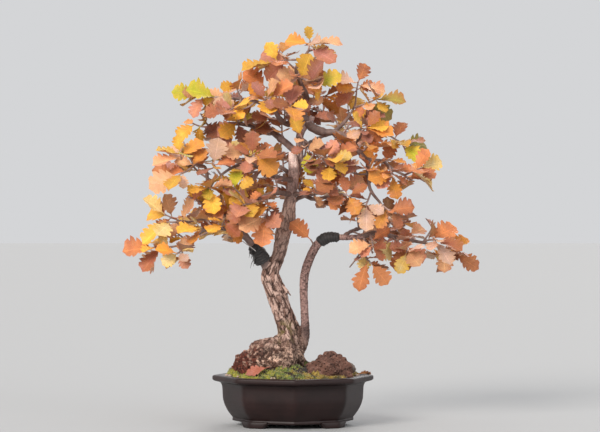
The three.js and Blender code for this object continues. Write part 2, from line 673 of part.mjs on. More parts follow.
// A cushion of moss over a sector of the mound, between two angles in degrees
function mossGeometry([start, end]) {
  const turns = Math.round((end - start) / MOSS.turn);
  const rows = MOSS.rows;
  const points = [];
  for (let i = 0; i <= turns; i++) {
    const angle = THREE.MathUtils.degToRad(mixed(start, end, i / turns));
    const rim = octagonReach(MOSS.rim, angle);
    for (let j = 0; j <= rows; j++) {
      const r = mixed(MOSS.inner, rim, j / rows);
      const [x, y] = [r * Math.cos(angle), r * Math.sin(angle)];
      points.push(new THREE.Vector3(x, y, mossHeight(x, y, r / rim)));
    }
  }
  const top = points.length;
  points.push(...points.map((p) => new THREE.Vector3(p.x, p.y, MOSS.foot)));
  const faces = [];
  const wide = rows + 1;
  for (let i = 0; i < turns; i++) {
    for (let j = 0; j < rows; j++) {
      const a = i * wide + j;
      faces.push(a, a + 1, a + wide, a + 1, a + wide + 1, a + wide);
      faces.push(top + a, top + a + wide, top + a + 1, top + a + 1, top + a + wide, top + a + wide + 1);
    }
  }
  const edge = [];
  for (let j = 0; j < rows; j++) edge.push([j, j + 1]);
  for (let i = 0; i < turns; i++) edge.push([i * wide + rows, (i + 1) * wide + rows]);
  for (let j = rows; j > 0; j--) edge.push([turns * wide + j, turns * wide + j - 1]);
  for (let i = turns; i > 0; i--) edge.push([i * wide, (i - 1) * wide]);
  for (const [a, b] of edge) faces.push(a, top + b, b, a, top + a, top + b);
  return new THREE.BufferGeometry().setFromPoints(points).setIndex(faces);
}

// Height of the moss: the mound's slope, a thickness that runs out at the rim, and rounded bumps
function mossHeight(x, y, share) {
  const r = share * MOSS.rim;
  const k = SOIL_TOP.findIndex(([radius]) => radius <= r);
  const [[r1, z1], [r0, z0]] = k > 0 ? [SOIL_TOP[k - 1], SOIL_TOP[k]] : [SOIL_TOP[0], SOIL_TOP[1]];
  const ground = mixed(z0, z1, (r - r0) / (r1 - r0));
  const broad = Math.sin(x / 8 + Math.sin(y / 12)) * Math.cos(y / 7.5 + x / 29);
  const bumps = broad + 0.5 * Math.sin(x / 4.2 + y / 5);
  const swell = Math.sqrt(Math.max(0, 1 - share ** 6));
  return ground + 1.2 + swell * (MOSS.thick + MOSS.bump * bumps);
}

// Half the blade's width at a share of the leaf's length, as a part of its full width:
// a thin stalk, then an oval that is widest well past the middle
function halfWidth(leaf, share) {
  if (share <= LEAF.stalk) return LEAF.stalkHalf;
  const q = Math.min(1, (share - LEAF.stalk) / (1 - LEAF.stalk));
  const oval = (q ** 1.05 * (1 - q) ** 0.66) / 0.3197;
  return Math.max(LEAF.stalkHalf * (1 - q), (leaf.width / 2) * oval);
}

// A point of the blade at a share of its length and across it from -1 to 1: the blade droops
// towards its tip, folds up along the midrib and waves along its edges
function bladePoint(leaf, share, across) {
  const half = halfWidth(leaf, share) * across;
  const size = Math.abs(half);
  const rise = leaf.fold * size + LEAF.ripple * half * Math.sin(9 * share + leaf.phase)
    - leaf.droop * leaf.length * share * share;
  return leaf.base.clone()
    .addScaledVector(leaf.along, share * leaf.length)
    .addScaledVector(leaf.side, half)
    .addScaledVector(leaf.face, rise);
}

// A leaf's frame and traits; the face looks as nearly as it can towards `facing`
function leafAt(count, base, along, facing, length, width) {
  const roll = (scatter(count, "roll") - 0.5) * LEAF.roll;
  const face = facing.clone().addScaledVector(along, -facing.dot(along)).normalize();
  face.applyAxisAngle(along, roll);
  return {
    base, along, face,
    side: face.clone().cross(along),
    length,
    width: width ?? length * mixed(...LEAF.widths, scatter(count, "width")),
    fold: mixed(...LEAF.folds, scatter(count, "fold")),
    droop: mixed(...LEAF.droops, scatter(count, "droop")),
    phase: 2 * Math.PI * scatter(count, "wave"),
  };
}

// A thin closed blade: toothed edges that both faces share, and a raised midrib on each face
function leafGeometry(leaf) {
  const edge = [[LEAF.stalk, 1]];
  for (let k = 0; k < LEAF.teeth; k++) {
    const q = (share) => mixed(LEAF.stalk, 1, share);
    edge.push([q((k + 0.78) / (LEAF.teeth + 0.5)), LEAF.toothOut]);
    if (k < LEAF.teeth - 1) edge.push([q((k + 1.12) / (LEAF.teeth + 0.5)), LEAF.notchIn]);
  }
  const ribs = [LEAF.stalk, 0.55];
  const points = [bladePoint(leaf, 0, 0), bladePoint(leaf, 1, 0)];
  const add = (point) => points.push(point) - 1;
  const chain = (shares, make) => [[0, 0], ...shares.map((s, i) => [s, add(make(s, i))]), [1, 1]];
  const edgeShares = edge.map(([share]) => share);
  const edges = [1, -1].map((way) => chain(edgeShares, (s, i) => bladePoint(leaf, s, way * edge[i][1])));
  const spines = [1, -1].map((way) =>
    chain(ribs, (s) => bladePoint(leaf, s, 0).addScaledVector(leaf.face, way * LEAF.midrib)),
  );
  const faces = [];
  edges.forEach((rim, left) => spines.forEach((spine, under) => {
    for (const [a, b, c] of zipped(spine, rim)) faces.push(...(left === under ? [a, b, c] : [a, c, b]));
  }));
  return new THREE.BufferGeometry().setFromPoints(points).setIndex(faces);
}

// Triangles between two chains of [share, point] that start and end at the same points
function zipped(inner, outer) {
  const faces = [];
  let [i, j] = [0, 0];
  while (i < inner.length - 1 || j < outer.length - 1) {
    const takeInner = j === outer.length - 1 || (i < inner.length - 1 && inner[i + 1][0] <= outer[j + 1][0]);
    const [a, b] = [inner[i][1], outer[j][1]];
    const next = takeInner ? inner[++i][1] : outer[++j][1];
    if (new Set([a, b, next]).size === 3) faces.push([a, next, b]);
  }
  return faces;
}

// Balls that stand for what is already placed; a leaf leans away until its own balls are clear
const placed = [];
const ROOM = {
  leaf: 3.7, wood: 1.2, same: 0.95, step: 5,
  scales: [1, 0.85, 0.7], leans: [0, 14, -14, 28, -28, 42, -42, 56, -56],
};

function occupyWood(owner, points, radii) {
  const rows = points.map((p, i) => [...p.slice(0, 3), radii[i]]);
  for (const { at, radius } of stations(rows, ROOM.step)) {
    placed.push({ at, radius: radius + ROOM.wood, owner, wood: true });
  }
}

function leafBalls(leaf, owner) {
  const balls = [];
  for (const share of [0.32, 0.48, 0.64, 0.8, 0.97]) {
    for (const across of share > 0.9 ? [0] : [-0.9, 0, 0.9]) {
      balls.push({ at: bladePoint(leaf, share, across), radius: ROOM.leaf, owner, wood: false });
    }
  }
  return balls;
}

const isClear = (balls, owner) => balls.every((ball) => placed.every((other) => {
  if (other.owner === owner && other.wood) return true;
  const reach = (ball.radius + other.radius) * (other.owner === owner ? ROOM.same : 1);
  return ball.at.distanceToSquared(other.at) >= reach * reach;
}));

// The first leaf of a list of tries that is clear of everything else, or null
function firstClear(tries, owner) {
  for (const leaf of tries) {
    const balls = leafBalls(leaf, owner);
    if (isClear(balls, owner)) {
      placed.push(...balls);
      return leaf;
    }
  }
  return null;
}

// The direction of a leaf from its angle in the front view and its lean towards the front
function frontDirection(angle, lean) {
  const [a, t] = [THREE.MathUtils.degToRad(angle), THREE.MathUtils.degToRad(lean)];
  return new THREE.Vector3(Math.cos(a) * Math.cos(t), -Math.sin(t), Math.sin(a) * Math.cos(t));
}

const FRONT_LIGHT = new THREE.Vector3(0, -0.72, 0.69);
const SPIRAL = THREE.MathUtils.degToRad(137.5);
let leafCount = 0;

// A front shoot's leaves, each from its own entry in the list
function frontLeaves(name, twig, leaves, bare) {
  const curve = new THREE.CatmullRomCurve3(twig.map(vector), false, "catmullrom", 0.5);
  return leaves.map(([place, angle, length, lean]) => {
    const count = leafCount++;
    const base = curve.getPoint(mixed(bare, 1, place));
    const tries = ROOM.scales.flatMap((scale) => ROOM.leans.map((more) =>
      leafAt(count, base, frontDirection(angle, lean + more), FRONT_LIGHT, length * scale),
    ));
    return firstClear(tries, name);
  });
}

// A back shoot's leaves, turning round its twig by the golden angle from its bare end to its tip
function backLeaves(name, twig) {
  const { count: number, shortest, longest, openAtFoot, openAtTip } = BACK_LEAVES;
  const curve = new THREE.CatmullRomCurve3(twig.map(vector), false, "catmullrom", 0.5);
  return Array.from({ length: number }, (_, k) => {
    const count = leafCount++;
    const place = mixed(BARE, 1, (k + 1) / number);
    const base = curve.getPoint(place);
    const along = curve.getTangent(place);
    const normal = new THREE.Vector3(0, 0, 1).addScaledVector(along, -along.z).normalize();
    const open = mixed(openAtFoot, openAtTip, k / (number - 1));
    const facing = new THREE.Vector3(base.x, base.y, 0).normalize().add(new THREE.Vector3(0, 0, 1));
    const length = mixed(shortest, longest, scatter(count, "width"));
    const tries = ROOM.scales.flatMap((scale) => ROOM.leans.map((more) => {
      const round = normal.clone().applyAxisAngle(along, k * SPIRAL + THREE.MathUtils.degToRad(more));
      const direction = along.clone().multiplyScalar(Math.cos(open)).addScaledVector(round, Math.sin(open));
      return leafAt(count, base, direction, facing, length * scale);
    }));
    return firstClear(tries, name);
  });
}

function shootSolid(twig, leaves) {
  const last = twig.length - 1;
  const points = twig.map((p, i) => [...p, mixed(TWIG.base, TWIG.tip, i / last)]);
  const stem = solidOf(limb(points, { sides: TWIG.sides, step: TWIG.step }));
  const blades = leaves.filter(Boolean).map((leaf) => solidOf(leafGeometry(leaf)));
  return joined([stem, ...blades]);
}

// A piece let down until it lies a gap above its bed
function dropped(solid, bed) {
  let [free, stuck] = [0, FALL];
  while (stuck - free > GAP / 10) {
    const fall = (free + stuck) / 2;
    if (solid.translate([0, 0, -fall]).intersect(bed).isEmpty()) free = fall;
    else stuck = fall;
  }
  return solid.translate([0, 0, GAP - free]);
}

// Materials
const finish = (color, roughness, metalness = 0) =>
  new THREE.MeshStandardMaterial({ color, roughness, metalness, flatShading: true, side: THREE.DoubleSide });
const materials = {
  clay: finish(0x4a3432, 0.62),
  soil: finish(0x2b2119, 0.95),
  screen: finish(0x1c1c1c, 0.5),
  bark: finish(0x6e625c, 0.88),
  wrapping: finish(0x161310, 0.8),
  lava: finish(0x4f3a44, 0.92),
  gravel: finish(0x8a7c74, 0.85),
  moss_gold: finish(0x9a8a2a, 0.95),
  moss_green: finish(0x5d6b24, 0.95),
  yellow: finish(0xe0b23a, 0.6),
  amber: finish(0xdc9434, 0.6),
  orange: finish(0xd0702e, 0.6),
  peach: finish(0xe0a382, 0.62),
  salmon: finish(0xd07a5c, 0.62),
  rose: finish(0xb87f76, 0.62),
  cream: finish(0xe3d3a4, 0.62),
  brown: finish(0x9a6238, 0.65),
  rust: finish(0x8f3b1e, 0.65),
  green: finish(0xa8a040, 0.6),
};

// Assembly
const woodGrown = woodSolid(GAP);
const ground = solidOf(moundGeometry(GAP));
const stones = Object.fromEntries(
  Object.entries(STONES).map(([name, { at, half, ...form }]) => [name, (grow) =>
    solidOf(boulder(at, half.map((h) => h + grow), form))]),
);

const tree = new THREE.Group();
const solids = {};
function place(name, solid, material) {
  solids[name] = largestBody(solid);
  const mesh = new THREE.Mesh(geometryOf(solids[name]), material);
  mesh.name = name;
  tree.add(mesh);
}

place("pot", potSolid(), materials.clay);
place("drain_screen_left", screenSolid(drainPlaces[0]), materials.screen);
place("drain_screen_right", screenSolid(drainPlaces[1]), materials.screen);
place("soil", soilSolid(), materials.soil);

const aboveGround = woodSolid(0).subtract(ground.subtract(plugHole(PLUG.radius - GAP)));
place("trunk", aboveGround.add(column(PLUG.radius, PLUG.bottom, PLUG.top)), materials.bark);

place("rock", stones.rock(0).subtract(ground).subtract(woodGrown), materials.lava);
place("stone_small", stones.stone_small(0).subtract(ground).subtract(stones.rock(GAP)), materials.gravel);
const underMoss = joined([ground, woodGrown, stones.rock(GAP), stones.stone_small(GAP)]);
for (const [name, span] of Object.entries(MOSS.patches)) {
  const material = name === "moss_gold" ? materials.moss_gold : materials.moss_green;
  place(name, solidOf(mossGeometry(span)).subtract(underMoss), material);
}
for (const [name, wrap] of Object.entries(WRAPS)) place(name, wrapSolid(wrap), materials.wrapping);

const bedNames = ["pot", "trunk", "rock", "stone_small", "moss_gold", "moss_front", "moss_back"];
const beds = joined(bedNames.map((name) => solids[name]));
for (const [name, { base, along, face, length, width }] of Object.entries(FALLEN)) {
  const leaf = leafAt(length, vector(base), vector(along).normalize(), vector(face), length, width);
  const settled = dropped(solidOf(leafGeometry(leaf)), beds);
  place(name, settled, name === "fallen_leaf_left" ? materials.rust : materials.orange);
}

for (const points of Object.values(WOOD)) occupyWood("trunk", points, points.map((p) => p[3]));
const allShoots = [...SHOOTS, ...BACK_SHOOTS];
for (const { name, on = name, twig } of allShoots) {
  occupyWood(on, twig, twig.map(() => TWIG.base));
}
// A forked shoot is fused into the one that it grows on
const sprays = new Map();
for (const { name, on = name, hue, twig, leaves, bare = BARE } of allShoots) {
  const grown = leaves ? frontLeaves(on, twig, leaves, bare) : backLeaves(on, twig);
  const shoot = shootSolid(twig, grown);
  const spray = sprays.get(on);
  sprays.set(on, spray ? { ...spray, solid: spray.solid.add(shoot) } : { solid: shoot, hue });
}
for (const [name, { solid, hue }] of sprays) place(name, solid.subtract(woodGrown), materials[hue]);

// The origin goes under the middle of the whole tree's box
const box = new THREE.Box3().setFromObject(tree);
const middle = box.getCenter(new THREE.Vector3());
tree.position.set(-middle.x, -middle.y, -box.min.z);

export default tree;
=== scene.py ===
# %% [markdown]
# # An oak bonsai in autumn leaf
# A small old oak grows in an eight-sided pot of dark brown clay. Its crown is made of loose sprays of
# toothed leaves that have turned yellow, amber, orange, pink and rust.
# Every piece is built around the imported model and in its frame. Points are written in millimetres from
# the pot's axis at the height of its feet, because they read well that way, and they become metres when
# a mesh is made of them.

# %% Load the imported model
import itertools
import json
import math

import bpy
import numpy as np
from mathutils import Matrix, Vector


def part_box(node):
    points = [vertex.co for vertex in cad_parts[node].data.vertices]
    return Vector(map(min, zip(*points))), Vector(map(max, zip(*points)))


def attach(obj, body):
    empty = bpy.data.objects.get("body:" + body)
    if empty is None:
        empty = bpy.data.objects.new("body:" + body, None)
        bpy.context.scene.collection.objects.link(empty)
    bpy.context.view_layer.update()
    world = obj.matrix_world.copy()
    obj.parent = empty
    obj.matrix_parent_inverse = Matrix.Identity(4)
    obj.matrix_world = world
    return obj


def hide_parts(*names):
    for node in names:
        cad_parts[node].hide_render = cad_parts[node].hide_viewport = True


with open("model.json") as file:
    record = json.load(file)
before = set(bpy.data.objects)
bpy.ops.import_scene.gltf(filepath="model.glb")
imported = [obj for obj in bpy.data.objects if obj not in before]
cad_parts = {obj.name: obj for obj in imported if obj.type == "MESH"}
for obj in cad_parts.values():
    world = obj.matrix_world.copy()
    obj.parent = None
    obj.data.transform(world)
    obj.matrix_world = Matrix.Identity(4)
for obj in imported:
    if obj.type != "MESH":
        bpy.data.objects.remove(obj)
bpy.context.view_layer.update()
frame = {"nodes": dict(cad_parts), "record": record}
pot_low, pot_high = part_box("pot")
MM = 0.001
AXIS = np.array([(pot_low.x + pot_high.x) / 2, (pot_low.y + pot_high.y) / 2, pot_low.z])
SLOT_OF = {part["node"]: part["material_slot"] for part in frame["record"]["subparts"]}


def placed(points):
    """Points in millimetres from the pot's axis, as metres in the frame."""
    return points * MM + AXIS


def linked(name, data):
    """An object that shows this data in the scene."""
    thing = bpy.data.objects.new(name, data)
    bpy.context.scene.collection.objects.link(thing)
    return thing


print("nodes:", len(frame["nodes"]), "pot axis:", AXIS.round(4))

# %% [markdown]
# ## Camera
# The photograph was taken level with the middle of the tree and from well back, so the lens is long.
# The eye's place is given in millimetres like the tree's points, and the camera looks along +Y.

# %% Camera
EYE = (12.9, -4500, 384)
LENS, SENSOR = 146.76, 36
view = bpy.data.cameras.new("camera")
view.lens, view.sensor_width, view.clip_end = LENS, SENSOR, 60
camera = linked("camera", view)
camera.location = placed(np.array(EYE))
camera.rotation_euler = (math.radians(90), 0, 0)
bpy.context.scene.camera = camera
print("camera at", tuple(round(x, 3) for x in camera.location))

# %% [markdown]
# ## Arrays and meshes
# Each piece starts as arrays: its points in millimetres, its faces, and a colour for each point. A face is
# a row of four point numbers, and a triangle has -1 as its last one. A grid of points makes most surfaces
# here, and a tube is a grid whose last column meets its first.

# %% Faces of a grid and of a closed tube
def turns(count):
    """Angles once round in equal steps."""
    return np.linspace(0, 2 * np.pi, count, endpoint=False)


def polar(radius, angle, height):
    """Points at a radius and an angle about the vertical axis, and at a height."""
    return np.stack(np.broadcast_arrays(radius * np.cos(angle), radius * np.sin(angle), height), -1)


def grid_faces(rows, columns, wrap=False):
    """Quads of a grid numbered row by row; wrap joins the last column to the first."""
    i, j = np.meshgrid(np.arange(rows - 1), np.arange(columns if wrap else columns - 1), indexing="ij")
    k = (j + 1) % columns
    quads = [i * columns + j, i * columns + k, (i + 1) * columns + k, (i + 1) * columns + j]
    return np.stack(quads, -1).reshape(-1, 4)


def skin(rings, start=None, end=None):
    """A closed surface through rings of points (m, n, 3), with a pole at each end: the given point, or the
    mean of the ring there. Rings run round anticlockwise as seen from the end that they lead to."""
    m, n, _ = rings.shape
    start = rings[0].mean(0) if start is None else np.asarray(start, float)
    end = rings[-1].mean(0) if end is None else np.asarray(end, float)
    points = np.vstack([rings.reshape(-1, 3), start, end])
    j = np.arange(n)
    k = (j + 1) % n
    none = np.full(n, -1)
    first = np.stack([k, j, np.full(n, m * n), none], -1)
    last = np.stack([(m - 1) * n + j, (m - 1) * n + k, np.full(n, m * n + 1), none], -1)
    return points, np.vstack([grid_faces(m, n, wrap=True), first, last])


def lens_skin(top, bottom):
    """A closed thin body from two grids (m, n, 3) that share their outermost rows and columns: the top
    grid's points, then the inner points of the bottom one. The top faces the side that rows times columns
    point to."""
    m, n, _ = top.shape
    number = np.arange(m * n).reshape(m, n)
    under = number.copy()
    under[1:-1, 1:-1] = m * n + np.arange((m - 2) * (n - 2)).reshape(m - 2, n - 2)
    faces = grid_faces(m, n)
    below = under.reshape(-1)[faces][:, ::-1]
    return np.vstack([top.reshape(-1, 3), bottom[1:-1, 1:-1].reshape(-1, 3)]), np.vstack([faces, below])


def together(parts):
    """Several (points, faces, colours) as one, with the face numbers moved on."""
    points, faces, colours = zip(*parts)
    starts = np.cumsum([0, *map(len, points[:-1])])
    faces = [np.where(f < 0, -1, f + start) for f, start in zip(faces, starts)]
    return np.vstack(points), np.vstack(faces), np.vstack(colours)


# %% Colours
def linear(rgb):
    """Screen colour 0 to 255 as the light that a shader takes: the sRGB curve undone."""
    c = np.asarray(rgb, float) / 255
    return np.where(c < 0.04045, c / 12.92, ((c + 0.055) / 1.055) ** 2.4)


def mixed(a, b, share):
    """From a to b by a share of the way."""
    return a + (b - a) * share


def ramp(value, low, high):
    """0 below low, 1 above high, and a smooth step between them."""
    t = np.clip((value - low) / (high - low), 0, 1)
    return t * t * (3 - 2 * t)


def painted(share, first, second):
    """Rows of colour from first to second by each point's share, held between 0 and 1."""
    return mixed(np.asarray(first), np.asarray(second), np.clip(share, 0, 1)[..., None])


# %% Put arrays into a mesh object
def new_piece(name, part, material, replaced=(), crease=None, uv=None):
    """A mesh object from (points, faces, colours), riding on the root body. Edges that turn by more than the
    crease stay sharp."""
    points, faces, colours = part
    mesh = bpy.data.meshes.new(name)
    corners = faces[faces >= 0]
    sizes = (faces >= 0).sum(1)
    mesh.vertices.add(len(points))
    mesh.vertices.foreach_set("co", placed(points).astype(np.float32).ravel())
    mesh.loops.add(len(corners))
    mesh.loops.foreach_set("vertex_index", corners.astype(np.int32))
    mesh.polygons.add(len(faces))
    mesh.polygons.foreach_set("loop_start", (np.cumsum(sizes) - sizes).astype(np.int32))
    mesh.polygons.foreach_set("use_smooth", np.full(len(faces), True))
    tone = mesh.attributes.new("tone", "FLOAT_COLOR", "POINT")
    tone.data.foreach_set("color", np.c_[colours, np.ones(len(colours))].astype(np.float32).ravel())
    if uv is not None:
        layer = mesh.uv_layers.new(name="blade")
        layer.uv.foreach_set("vector", uv[corners].astype(np.float32).ravel())
    mesh.update(calc_edges=True)
    mesh.validate()
    if crease is not None:
        mesh.set_sharp_from_angle(angle=crease)
    mesh.materials.append(material)
    piece = linked(name, mesh)
    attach(piece, "root")
    if replaced:
        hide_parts(*replaced)
    print(name, "triangles:", int((sizes - 2).sum()))
    return piece


def plain_object(name, points, faces):
    """An object with a bare mesh, for what cuts, is joined, or is stage."""
    mesh = bpy.data.meshes.new(name)
    mesh.from_pydata(points.tolist(), [], [[v for v in face if v >= 0] for face in faces.tolist()])
    return linked(name, mesh)


def modified(thing):
    """A new mesh: the object's own with its modifiers worked in."""
    return bpy.data.meshes.new_from_object(thing.evaluated_get(bpy.context.evaluated_depsgraph_get()))


# %% [markdown]
# ## Noise worked out as arrays
# Bark, moss and stone are uneven at many scales. Two patterns give nearly all of it: waves of noise
# between scattered numbers on a lattice, and the distances to scattered seeds, which split a surface
# into plates or grains. Both depend only on the place, so that they are the same each run.

# %% Lattice noise and seed cells
def scattered(cells, seed=0.0):
    """Numbers from 0 to 1 for whole-number cells: the fraction of a large sine of their mixed coordinates."""
    mix = cells @ np.array([[127.1, 269.5, 113.5], [311.7, 183.3, 271.9], [74.7, 246.1, 124.6]]) + seed
    return (np.sin(mix) * 43758.5453) % 1


def noise(points, seed=0.0):
    """Smooth noise from 0 to 1: a mean of the eight lattice corners, weighted by a smooth step each way."""
    base = np.floor(points)
    t = points - base
    t = t * t * (3 - 2 * t)
    total = 0
    for corner in np.ndindex(2, 2, 2):
        weight = np.prod(np.where(corner, t, 1 - t), axis=1)
        total = total + weight * scattered(base + corner, seed)[:, 0]
    return total


def layered(points, seed=0.0, layers=3):
    """Noise added at halved sizes and halved strengths, brought back to 0 to 1."""
    strengths = 0.5 ** np.arange(layers)
    parts = [s * noise(points * 2**k, seed + 17 * k) for k, s in enumerate(strengths)]
    return sum(parts) / strengths.sum()


def seed_cells(points, seed=0.0):
    """Distances to the nearest and second nearest seed, with one seed in each unit cell, and the nearest
    seed's own number from 0 to 1."""
    base = np.floor(points)
    near, second, tag = (np.full(len(points), v) for v in (9.0, 9.0, 0.0))
    for step in np.ndindex(3, 3, 3):
        cell = base + np.array(step) - 1
        draw = scattered(cell, seed)
        distance = np.linalg.norm(points - cell - draw, axis=1)
        closer = distance < near
        second = np.where(closer, near, np.minimum(second, distance))
        tag = np.where(closer, (draw[:, 0] * 91.7 + draw[:, 1] * 37.3) % 1, tag)
        near = np.where(closer, distance, near)
    return near, second, tag


# %% [markdown]
# ## A smooth line through points
# Branches, twigs and wrappings all follow a line through a few points. A curve of cubic pieces goes through
# each point, with its direction there taken from the two neighbours, which is how a shoot bends between
# its joints.

# %% Lines and tubes
START_SIDE, SPARE_SIDE = np.array([0.3, -1, 0.1]), np.array([1.0, 0.2, 0.1])


def line_at(points, marks):
    """Points and directions of the smooth line at marks, which count 0 to n-1 along the points: in each span
    the cubic that leaves and arrives with half the chord between the neighbours on either side."""
    p = np.asarray(points, float)[:, :3]
    ends = np.vstack([2 * p[0] - p[1], p, 2 * p[-1] - p[-2]])
    i = np.minimum(np.floor(marks).astype(int), len(p) - 2)
    w = (np.asarray(marks, float) - i)[:, None]
    a, b, c, d = ends[i], ends[i + 1], ends[i + 2], ends[i + 3]
    m0, m1 = (c - a) / 2, (d - b) / 2
    third, square = 2 * b - 2 * c + m0 + m1, 3 * c - 3 * b - 2 * m0 - m1
    place = ((third * w + square) * w + m0) * w + b
    slope = (3 * third * w + 2 * square) * w + m0
    return place, slope / np.linalg.norm(slope, axis=1, keepdims=True)


def marks_along(points, step, first=0.0, last=None):
    """Marks about a step apart, with one on each given point."""
    last = len(points) - 1 if last is None else last
    p = np.asarray(points, float)[:, :3]
    marks = [first]
    for i in range(int(math.floor(first)), int(math.ceil(last))):
        low, high = max(i, first), min(i + 1, last)
        length = np.linalg.norm(p[i + 1] - p[i]) * (high - low)
        parts = max(1, math.floor(length / step + 0.5))
        marks += [mixed(low, high, k / parts) for k in range(1, parts + 1)]
    return np.array(marks)


def radius_at(rows, marks):
    """The rows' fourth number at marks, straight between its values."""
    i = np.minimum(np.floor(marks).astype(int), len(rows) - 2)
    return mixed(rows[i, 3], rows[i + 1, 3], marks - i)


def tube_frame(points, marks, sides):
    """Centre, direction, radius and the outward unit vectors of each ring: a side made square to the line and
    turned round it in equal steps. A line that runs along the first side takes the spare one."""
    rows = np.asarray(points, float)
    centre, along = line_at(rows, marks)
    near = START_SIDE
    if np.abs(along.mean(0) @ near) > 0.75 * np.linalg.norm(near):
        near = SPARE_SIDE
    normal = near - (along @ near)[:, None] * along
    normal /= np.linalg.norm(normal, axis=1, keepdims=True)
    across = np.cross(along, normal)
    turn = turns(sides)
    out = normal[:, None] * np.cos(turn)[:, None] + across[:, None] * np.sin(turn)[:, None]
    return centre, along, radius_at(rows, marks), out, turn


def tube(points, step, sides, uneven=None, tip=0.8):
    """A closed branch: rings about the smooth line, each pushed out by its radius times uneven(centre, turn),
    with a rounded point at both ends."""
    marks = marks_along(points, step)
    centre, along, radius, out, turn = tube_frame(points, marks, sides)
    reach = radius[:, None] * (1 if uneven is None else uneven(centre, turn))
    rings = centre[:, None] + out * np.broadcast_to(reach, out.shape[:2])[..., None]
    start = centre[0] - 0.3 * radius[0] * along[0]
    return skin(rings, start, centre[-1] + tip * radius[-1] * along[-1])


# %% [markdown]
# ## Materials
# A material's broad colour comes from each point's tone, which is worked out with the shape, so that
# furrows are dark and flakes are pale where they really are. Fine grain, which is smaller than the mesh,
# comes from noise on the object's own coordinates, in colour, roughness and bump. The two screens under
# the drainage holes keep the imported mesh, which has no tones, so their plastic is coloured by noise alone.

# %% Shader helpers
def new_material(name):
    """A material and its surface shader."""
    material = bpy.data.materials.new(name)
    material.use_nodes = True
    return material, material.node_tree.nodes["Principled BSDF"]


def add(material, kind, **values):
    """A node of this kind with its properties set; a value whose name is an input goes to that socket."""
    node = material.node_tree.nodes.new(kind)
    for name, value in values.items():
        socket = name.replace("_", " ").title()
        if socket in node.inputs:
            node.inputs[socket].default_value = value
        else:
            setattr(node, name, value)
    return node


def join(outlet, inlet):
    """Links two nodes, in place of any earlier link to that inlet."""
    outlet.id_data.links.new(outlet, inlet)


def grain(material, scale, detail=3, rough=0.6):
    """Noise on the object's coordinates, scale counted per metre."""
    texture = add(material, "ShaderNodeTexNoise", scale=scale, detail=detail, roughness=rough)
    join(add(material, "ShaderNodeTexCoord").outputs["Object"], texture.inputs["Vector"])
    return texture.outputs["Fac"]


def ranged(material, value, low, high, start=0.3, end=0.7):
    """A noise value between start and end spread to low and high."""
    node = add(material, "ShaderNodeMapRange", from_min=start, from_max=end, to_min=low, to_max=high)
    join(value, node.inputs["Value"])
    return node.outputs["Result"]


def times(material, colour, strength):
    """A colour made lighter or darker by a value: each channel multiplied."""
    node = add(material, "ShaderNodeVectorMath", operation="SCALE")
    join(colour, node.inputs[0])
    join(strength, node.inputs["Scale"])
    return node.outputs["Vector"]


def worked(material, operation, *values):
    """A sum on values, each a number or another node's outlet."""
    node = add(material, "ShaderNodeMath", operation=operation)
    for inlet, value in zip(node.inputs, values):
        if isinstance(value, float):
            inlet.default_value = value
        else:
            join(value, inlet)
    return node.outputs[0]


def bumped(material, height, distance, strength=1.0):
    """A normal from a height value; distance is the height's size in metres."""
    node = add(material, "ShaderNodeBump", strength=strength, distance=distance)
    join(height, node.inputs["Height"])
    return node.outputs["Normal"]


def finish(name, rough, fine, spots, depth, sheen=0.0, level=0.5, uneven=0.28):
    """A mineral or plant surface: the tone attribute, made uneven by noise at two sizes, with a noise-driven
    roughness between the two given and a bump as deep as depth."""
    material, shader = new_material(name)
    shader.inputs["Sheen Weight"].default_value = sheen
    shader.inputs["Specular IOR Level"].default_value = level
    tone = add(material, "ShaderNodeAttribute", attribute_name="tone").outputs["Color"]
    small, large = grain(material, fine), grain(material, spots, detail=2)
    lit = times(material, tone, ranged(material, small, 1 - uneven, 1 + uneven))
    patchy = ranged(material, large, 1 - 0.7 * uneven, 1 + 0.7 * uneven)
    join(times(material, lit, patchy), shader.inputs["Base Color"])
    join(ranged(material, small, *rough), shader.inputs["Roughness"])
    join(bumped(material, small, depth), shader.inputs["Normal"])
    return material


# %% Finishes
CLAY = finish("unglazed_clay", (0.36, 0.5), fine=900, spots=28, depth=0.0002, level=0.3)
SOIL = finish("soil", (0.85, 1.0), fine=700, spots=90, depth=0.0008)
BARK = finish("bark", (0.7, 0.95), fine=520, spots=60, depth=0.0012, level=0.3)
TWIG_BARK = finish("twig_bark", (0.55, 0.8), fine=900, spots=140, depth=0.0004)
TAPE = finish("wound_tape", (0.55, 0.8), fine=1400, spots=160, depth=0.0003, sheen=0.2)
LAVA = finish("lava_rock", (0.85, 1.0), fine=650, spots=70, depth=0.0012, level=0.3)
GRAVEL = finish("gravel", (0.6, 0.85), fine=800, spots=120, depth=0.0004)
MOSS = finish("moss", (0.9, 1.0), fine=900, spots=110, depth=0.001, sheen=0.35, level=0.2)
NET = finish("net_plastic", (0.4, 0.55), fine=1500, spots=200, depth=0.0001)
print("finishes:", [m.name for m in (CLAY, SOIL, BARK, TWIG_BARK, TAPE, LAVA, GRAVEL, MOSS, NET)])

# %% Drain screens
NET_DARK, NET_LIGHT = linear((16, 16, 17)), linear((34, 33, 32))
blend = add(NET, "ShaderNodeValToRGB")
for stop, tone in zip(blend.color_ramp.elements, (NET_DARK, NET_LIGHT)):
    stop.color = (*tone, 1)
join(grain(NET, 1500), blend.inputs["Fac"])
join(blend.outputs["Color"], NET.node_tree.nodes["Principled BSDF"].inputs["Base Color"])
for net in ("drain_screen_left", "drain_screen_right"):
    slots = frame["nodes"][net].data.materials
    slots.clear()
    slots.append(NET)
print("drain screens: material", NET.name)

